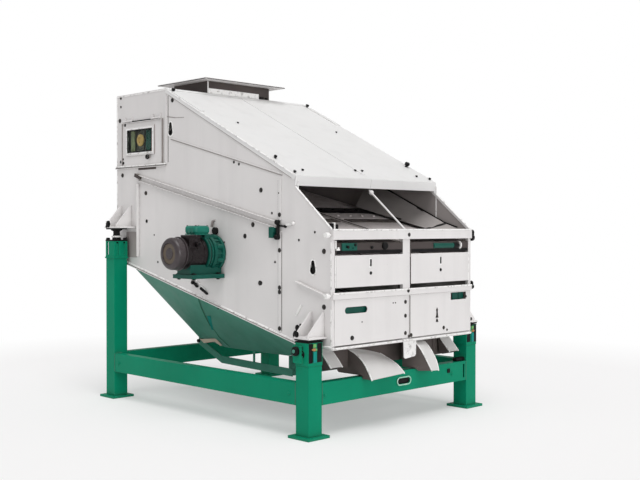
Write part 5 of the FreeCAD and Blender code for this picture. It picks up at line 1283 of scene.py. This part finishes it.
BRACKET_Y = limit("spring_brackets", HIGH, Y) - 0.0005
BRACKET_BOLTS = ((-0.937, BRACKET_Y, 1.151, 0.016), (-0.684, HALF_WIDTH, 1.170, 0.008),
                 (-0.960, BRACKET_Y, 1.136, 0.007), (0.890, BRACKET_Y, 0.557, 0.011),
                 (0.757, HALF_WIDTH, 0.573, 0.012), (0.748, HALF_WIDTH, 0.533, 0.018),
                 (0.781, HALF_WIDTH, 0.590, 0.006))
spots = [((x, side * y, z), OUTWARD[side], flat) for side in SIDES for x, y, z, flat in BRACKET_BOLTS]
fit(scattered(bolt, spots), "bracket_bolts", "sieve_body", *BLACK_BOLT)
tabs = []
for side in SIDES:
    tabs += [wall_bar((0.745, 0.640), (0.790, 0.700), 0.014, 0.006, side),
             wall_bar((0.740, 0.500), (0.800, 0.500), 0.010, 0.012, side),
             block((0.052, 0.006, 0.040), (-0.946, side * (BRACKET_Y - 0.003), 1.153))]
fit(ease(join(tabs), 0.002), "bracket_tabs", "sieve_body", *HIGHLIGHT_WHITE)


# Vibrating motors

def motor(side):
    """The drum, cap, mount and terminal box of the motor on a side."""
    out = OUTWARD[side]
    name = SIDE_NAME[side]
    wall_y = side * HALF_WIDTH

    def on_axis(profile, sides=56):
        """A round part about the motor's axis, its heights measured from the wall."""
        return turned_piece(profile, (MOTOR_X, wall_y, MOTOR_Z), out, sides)

    drum = on_axis(((0.1182, 0.086), (0.121, 0.092), (0.142, 0.092), (0.144, 0.089), (0.150, 0.089),
                    (0.152, 0.093), (0.232, 0.093), (0.234, 0.090), (0.246, 0.090), (0.248, 0.094),
                    (0.2675, 0.094)))
    fit(drum, "motor_drum_" + name, "sieve_body", "motor_dark", finish["motor_dark"],
        stands_for=("motor_housings",))
    cap = on_axis(((0.268, 0.097), (0.270, 0.0995), (0.276, 0.0995), (0.278, 0.091), (0.284, 0.091),
                   (0.286, 0.095), (0.318, 0.095), (0.328, 0.092), (0.335, 0.086), (0.339, 0.079),
                   (0.3398, 0.073), (0.3398, 0.064), (0.333, 0.062), (0.333, 0.034), (0.337, 0.031),
                   (0.337, 0.012)))
    fit(cap, "motor_cap_" + name, "sieve_body", "motor_dark", finish["motor_cap"],
        stands_for=("motor_housings",))
    face = on_axis(((0.3332, 0.060), (0.3345, 0.060), (0.3345, 0.040), (0.3338, 0.038)), 40)
    fit(face, "motor_cap_face_" + name, "sieve_body", "motor_dark", finish["cap_face"])
    rings = [on_axis(((0.008, 0.1105), (0.010, 0.1135), (0.022, 0.1135), (0.024, 0.1105), (0.024, 0.09))),
             on_axis(((0.084, 0.100), (0.086, 0.1035), (0.096, 0.1035), (0.098, 0.100))),
             on_axis(((0.104, 0.100), (0.106, 0.1045), (0.116, 0.1045), (0.1179, 0.101)))]
    fit(join(rings), "mount_rings_" + name, "sieve_body", *MOUNT_GREEN)
    fit(on_axis(((0.098, 0.1005), (0.104, 0.1005))), "mount_groove_" + name, "sieve_body", "motor_dark",
        finish["motor_dark"])

    circle = [(MOTOR_X + 0.101 * math.cos(turn), MOTOR_Z + 0.101 * math.sin(turn))
              for turn in (math.radians(22.5 + 45 * i) for i in range(8))]
    lug = ((0, 0.016), (0.030, 0.015), (0.034, 0.011))
    lugs = [turned_piece(lug, (x, wall_y + side * 0.022, z), out, 20) for x, z in circle]
    fit(join(lugs), "mount_lugs_" + name, "sieve_body", *MOUNT_GREEN)
    heads = [((x, wall_y + side * 0.0555, z), out, 0.008) for x, z in circle]
    fit(scattered(bolt, heads), "mount_bolt_heads_" + name, "sieve_body", "bolt_dark",
        finish["motor_green"])

    lid = ease(block((0.112, 0.112, 0.050), (MOTOR_X, side * BOX_Y, BOX_TOP + 0.030)), 0.018, 4)
    foot = ease(block((0.106, 0.106, 0.008), (MOTOR_X, side * BOX_Y, BOX_TOP + 0.004)), 0.003)
    seam = [block((0.010, 0.004, 0.030), (MOTOR_X + shift, side * (BOX_Y + 0.0555), BOX_TOP + 0.0275))
            for shift in (-0.03, 0, 0.03)]
    fit(ease(join([lid, foot] + seam), 0.0005, 1), "terminal_lid_" + name, "sieve_body", "motor_green",
        finish["lid"], stands_for=("terminal_boxes",))
    screws = [((MOTOR_X + dx, side * BOX_Y + dy, BOX_TOP + 0.054), "+Z", 0.005)
              for dx in (-0.042, 0.042) for dy in (-0.042, 0.042)]
    fit(scattered(bolt, screws), "terminal_screws_" + name, "sieve_body", *BOLT)
    gland = turned_piece(((0, 0.015), (0.010, 0.015), (0.010, 0.012), (0.020, 0.012), (0.026, 0.009)),
                         (MOTOR_X + 0.0875, side * (BOX_Y + 0.071), BOX_TOP - 0.0555), "+X", 20)
    fit(gland, "cable_gland_" + name, "sieve_body", *BLACK)
    ribs = [block((0.006, 0.070, 0.040), (MOTOR_X + shift, side * (HALF_WIDTH + 0.080), BOX_TOP - 0.0215))
            for shift in (-0.050, 0.050)]
    fit(ease(join(ribs), 0.002), "mount_top_ribs_" + name, "sieve_body", *MOUNT_GREEN)
    feet = [((MOTOR_X + dx, side * (HALF_WIDTH + dy), MOTOR_Z - 0.1235), "+Z", 0.012)
            for dx in (-0.072, 0.072) for dy in (0.032, 0.212)]
    feet += [((x, y, MOTOR_Z - 0.1482), (math.pi, 0, 0), 0.011) for (x, y, _), _, _ in feet]
    fit(scattered(bolt, feet), "cradle_bolts_" + name, "sieve_body", *BLACK_BOLT)


for side in SIDES:
    motor(side)


# Spouts under the discharge end

def bead(curve, radius):
    """A rolled edge along a curve, bright in the white edge enamel as a painted highlight."""
    points = [along(curve, i / 18) for i in range(19)]
    bars = [bar_between(a, b + (b - a).normalized() * radius, 2 * radius, 2 * radius)
            for a, b in zip(points, points[1:])]
    return ease(join(bars), radius * 0.5, 2)


def curved_spout(name, near, far, near_under, far_under, crown, node):
    """A spout with a curved bright apron, cheeks darkened as painted shade, and rolled edges with a painted
    highlight.
    """
    apron = ruled(near, far, 24, 8, 0.003, crown)
    fit(ease(apron, 0), name + "_apron", "sieve_body", "spout_grey", finish["spout"], stands_for=(node,))
    cheeks = [ruled(first, second, 24, 3, 0.003)
              for first, second in ((near, near_under), (far, far_under), (near_under, far_under))]
    fit(ease(join(cheeks), 0), name + "_cheeks", "sieve_body", "spout_grey", finish["cheek"],
        stands_for=(node,))
    fit(join([bead(near[1:], 0.0035), bead(far[1:], 0.0035)]), name + "_edges", "sieve_body", *HIGHLIGHT_WHITE)


def at(y, points):
    """A curve of (x, z) points at one y."""
    return [(x, y, z) for x, z in points]


NEAR_Y, FAR_Y = limit("product_spout", LOW, Y) + 0.005, limit("product_spout", HIGH, Y) - 0.0045
PRODUCT_NEAR = ((0.800, 0.466), (0.850, 0.452), (0.885, 0.437), (0.924, 0.423), (0.955, 0.405),
                (0.985, 0.382), (1.008, 0.357), (1.034, 0.317), (1.0535, 0.284))
PRODUCT_FAR = ((0.800, 0.430), (0.830, 0.408), (0.870, 0.392), (0.908, 0.378), (0.962, 0.358),
               (0.995, 0.342), (1.020, 0.326), (1.040, 0.310), (1.0535, 0.296))
PRODUCT_UNDER = ((0.735, 0.462), (0.790, 0.3045), (0.984, 0.3045), (0.986, 0.285))
curved_spout("product_spout", at(NEAR_Y, PRODUCT_NEAR), at(FAR_Y, PRODUCT_FAR), at(NEAR_Y, PRODUCT_UNDER),
             at(FAR_Y, PRODUCT_UNDER), 0.010, "product_spout")

FINES_NEAR = ((0.960, 0.1020, 0.468), (1.000, 0.105, 0.458), (1.022, 0.110, 0.440), (1.037, 0.119, 0.415),
              (1.047, 0.136, 0.380), (1.053, 0.158, 0.340), (1.055, 0.178, 0.310), (1.056, 0.194, 0.285))
FINES_FAR = ((0.950, 0.203, 0.466), (0.990, 0.206, 0.452), (1.012, 0.212, 0.430), (1.030, 0.221, 0.402),
             (1.043, 0.232, 0.372), (1.051, 0.243, 0.340), (1.054, 0.252, 0.310), (1.055, 0.258, 0.282))
FINES_NEAR_UNDER = ((0.900, 0.102, 0.468), (0.905, 0.108, 0.3045), (0.984, 0.122, 0.3045),
                    (0.992, 0.150, 0.284))
FINES_FAR_UNDER = ((0.900, 0.203, 0.468), (0.905, 0.218, 0.3045), (0.984, 0.240, 0.3045),
                   (0.990, 0.250, 0.282))
curved_spout("fines_spout", FINES_NEAR, FINES_FAR, FINES_NEAR_UNDER, FINES_FAR_UNDER, 0.004, "side_spouts")

SMALL_EDGE = ((0.884, 0.472), (0.896, 0.442), (0.915, 0.423), (0.938, 0.401), (0.958, 0.378),
              (0.969, 0.366))
SMALL_UNDER = ((0.860, 0.466), (0.882, 0.420), (0.889, 0.352), (0.915, 0.348), (0.945, 0.356))
for side in SIDES:
    outer, inner = side * 0.561, side * 0.474
    curved_spout("small_spout_" + SIDE_NAME[side], at(outer, SMALL_EDGE), at(inner, SMALL_EDGE),
                 at(outer, SMALL_UNDER), at(inner, SMALL_UNDER), 0.0, "side_spouts")

GUIDE = ((-0.010, 0.470), (-0.006, 0.378), (0.006, 0.369), (0.092, 0.377), (0.102, 0.388), (0.104, 0.470))
plate = cut_plate(GUIDE, 0.004, (1.011, 0, 0), "+X")
fit(ease(plate, 0.001), "guide_plate", "sieve_body", "spout_grey", finish["casing_edge"],
    stands_for=("side_spouts",))
# A dark sheet behind the spouts, over the beam: painted shade
shade_sheet = [block((0.004, 1.190, 0.130), (0.868, 0, 0.405)),
         block((0.004, 0.004, 0.120), (0.872, 0.30, 0.405)),
         block((0.004, 0.004, 0.120), (0.872, 0.43, 0.405))]
fit(ease(join(shade_sheet), 0.001), "rear_shade_sheet", "sieve_body", "spout_grey", finish["cheek"])


# Stand: welds, and what its slots show

BEAM_Z, BEAM_HALF = centre_of("end_beam_discharge", Z), 0.059
LEG_INNER_X, LEG_OUTER_X = limit("leg_discharge_far", LOW, X), limit("leg_discharge_far", HIGH, X)
LEG_INNER_Y, LEG_OUTER_Y = limit("leg_discharge_far", LOW, Y), limit("leg_discharge_far", HIGH, Y)
UPRIGHT = (0.007, 0.007, 2 * BEAM_HALF)
beads = []
for side in SIDES:
    for end in (-1, 1):
        for z in (BEAM_Z - BEAM_HALF, BEAM_Z + BEAM_HALF):
            beads.append(block((0.010, 0.052, 0.006),
                               (end * (LEG_INNER_X - 0.002), side * (LEG_OUTER_Y - 0.030), z)))
        beads.append(block(UPRIGHT, (end * (LEG_INNER_X - 0.0025), side * (LEG_OUTER_Y - 0.0015), BEAM_Z)))
for side in SIDES:
    for end in (-1, 1):
        beads.append(block(UPRIGHT, (end * (LEG_OUTER_X - 0.0015), side * (LEG_INNER_Y - 0.0025), BEAM_Z)))
beads = join(beads)
modify(beads, "SUBSURF", levels=2, render_levels=2, subdivision_type="SIMPLE")
fit(ease(beads, 0.0012, 1), "weld_beads", "stand", "frame_green", finish["weld"])
pan = block((0.030, 0.104, 0.030), (0.956, 0.035, BEAM_Z))
fit(ease(pan, 0.003), "lifting_slot_liner", "stand", "inner_steel", finish["knob"])


def long_plate(radius, thick):
    """A plate with the outline of the long lifting hole, on the beam's face."""
    arcs = []
    for centre, start in ((0.073, -90), (-0.003, 90)):
        arcs += [(centre + radius * math.cos(math.radians(start + 15 * i)),
                  BEAM_Z + radius * math.sin(math.radians(start + 15 * i))) for i in range(13)]
    return cut_plate(arcs, thick, (0.980, 0, 0), "+X")


rim = carve(long_plate(0.0255, 0.002), long_plate(0.0175, 0.01))
fit(ease(rim, 0.0008, 1), "lifting_slot_edge", "stand", "frame_green", finish["slot_rim"])
lump = ease(block((0.034, 0.092, 0.022), (0.944, 0.600, 0.3060)), 0.007, 3)
fit(lump, "beam_stop", "stand", *SEAL_AND_SHADE)
square = ease(block((0.006, 0.026, 0.026), (0.977, 0.455, 0.250)), 0.002)
fit(square, "beam_plug", "stand", *BLACK)


# Hopper: a painted shade line along its crease, a painted reflection streak and the frame's lip

CREASE_SHADE = ((-0.150, -0.6000, 0.6920), (-0.200, -0.5395, 0.6300), (-0.2345, -0.4815, 0.5680),
        (-0.2600, -0.4190, 0.4990), (-0.2460, -0.3965, 0.4720), (-0.2430, -0.3615, 0.4243),
        (-0.2280, -0.3475, 0.4050), (-0.1995, -0.3075, 0.3592))
seam = [bar_between(a, b, 0.005, 0.003) for a, b in zip(CREASE_SHADE, CREASE_SHADE[1:])]
fit(join(seam), "hopper_crease_shade", "sieve_body", "hopper_green", finish["weld"])
# A darker teal streak on the hopper's near face: painted reflection
reflection_streak = [bar_between((-0.1715, -0.4990, 0.5729), (-0.222, -0.4440, 0.5190), 0.022, 0.002),
         bar_between((-0.220, -0.4460, 0.5210), (-0.2616, -0.3955, 0.4707), 0.016, 0.002)]
fit(ease(join(reflection_streak), 0.0006, 1), "hopper_reflection_streak", "sieve_body", "hopper_green", finish["teal"])
RIM = ((-0.486, 0.3894), (-0.317, 0.4062), (-0.2555, 0.3691), (-0.270, 0.362), (-0.330, 0.385),
       (-0.4436, 0.3664))
rim_plate = cut_plate(RIM, 0.004, (0, -0.326, 0))
fit(ease(rim_plate, 0.001), "hopper_rim_strip", "sieve_body", "hopper_green", finish["tan"])
plug = turned_piece(((0, 0.012), (0.010, 0.012), (0.014, 0.008)), (-0.508, -0.316, 0.376), "-Y", 20)
fit(plug, "hopper_rim_plug", "sieve_body", *BLACK)
drop(bolt)


# Floor, light and camera

FADE_FROM, FADE_TO = 2.2, 4.5  # where the floor starts and ends to turn white, from the middle
FLOOR_GLOW = 0.33  # its share of white below the machine, so that its shadow stays soft
LIGHT_LEVEL = 0.45  # the world's strength as a light
FOCAL_LENGTH = 55.52
CAMERA_PLACE = (4.7242, -4.3487, 1.1267)
AZIMUTH, PITCH = math.radians(45.39), math.radians(-0.71)


def floor():
    """A pale floor that keeps the machine's shadow and fades into the background."""
    r = Recipe("pale floor")
    reach = r.add("ShaderNodeVectorMath", {0: r.place}, operation="LENGTH").outputs["Value"]
    far = r.ramp(reach, FADE_FROM, FADE_TO)
    camera_ray = r.add("ShaderNodeLightPath").outputs["Is Camera Ray"]
    matt = r.add("ShaderNodeBsdfDiffuse", {"Color": (0.92, 0.91, 0.91, 1.0)})
    white = r.add("ShaderNodeEmission", {"Color": (1, 1, 1, 1), "Strength": 1.0})
    share = r.sum("MULTIPLY", r.sum("MAXIMUM", far, FLOOR_GLOW), camera_ray)
    mix = r.add("ShaderNodeMixShader", {0: share, 1: matt.outputs["BSDF"], 2: white.outputs["Emission"]})
    out = r.tree.nodes["Material Output"]
    r.tree.links.new(mix.outputs["Shader"], out.inputs["Surface"])
    bpy.ops.object.select_all(action="DESELECT")
    bpy.ops.mesh.primitive_plane_add(size=60, location=(0, 0, 0))
    ground = bpy.context.object
    ground.name = "floor"
    ground.data.materials.append(r.material)


floor()


def sun(name, towards, strength, softness):
    """A soft lamp far away in a direction."""
    lamp = bpy.data.lights.new(name, "SUN")
    lamp.energy = strength * math.pi
    lamp.angle = math.radians(softness)
    holder = bpy.data.objects.new(name, lamp)
    bpy.context.scene.collection.objects.link(holder)
    holder.rotation_mode = "QUATERNION"
    holder.rotation_quaternion = Vector(towards).to_track_quat("Z", "Y")


sun("overhead lamp", (0.25, -0.20, 0.94), 0.49, 45)
sun("front lamp", (1.0, -0.25, 0.15), 0.30, 30)

# Camera rays, and those that pass the window, see a white world, and all others its plain light
world = bpy.data.worlds.new("studio")
bpy.context.scene.world = world
world.use_nodes = True
light_path = world.node_tree.nodes.new("ShaderNodeLightPath")
backdrop = world.node_tree.nodes["Background"]
backdrop.inputs["Color"].default_value = (1, 1, 1, 1)
seen = world.node_tree.nodes.new("ShaderNodeMath")
seen.operation = "MAXIMUM"
world.node_tree.links.new(light_path.outputs["Is Camera Ray"], seen.inputs[0])
world.node_tree.links.new(light_path.outputs["Is Transmission Ray"], seen.inputs[1])
level = world.node_tree.nodes.new("ShaderNodeMapRange")
level.inputs["To Min"].default_value = LIGHT_LEVEL
level.inputs["To Max"].default_value = 1.0
world.node_tree.links.new(seen.outputs["Value"], level.inputs["Value"])
world.node_tree.links.new(level.outputs["Result"], backdrop.inputs["Strength"])

# The camera stands where the edges of the stand and casing in the photograph put it
camera_data = bpy.data.cameras.new("camera")
camera_data.lens = FOCAL_LENGTH
camera_data.sensor_width = 36.0
camera = bpy.data.objects.new("camera", camera_data)
bpy.context.scene.collection.objects.link(camera)
camera.location = CAMERA_PLACE
looks = Vector((-math.sin(AZIMUTH) * math.cos(PITCH), math.cos(AZIMUTH) * math.cos(PITCH), math.sin(PITCH)))
camera.rotation_mode = "QUATERNION"
camera.rotation_quaternion = looks.to_track_quat("-Z", "Y")
bpy.context.scene.camera = camera
bpy.context.scene.view_settings.view_transform = "Standard"
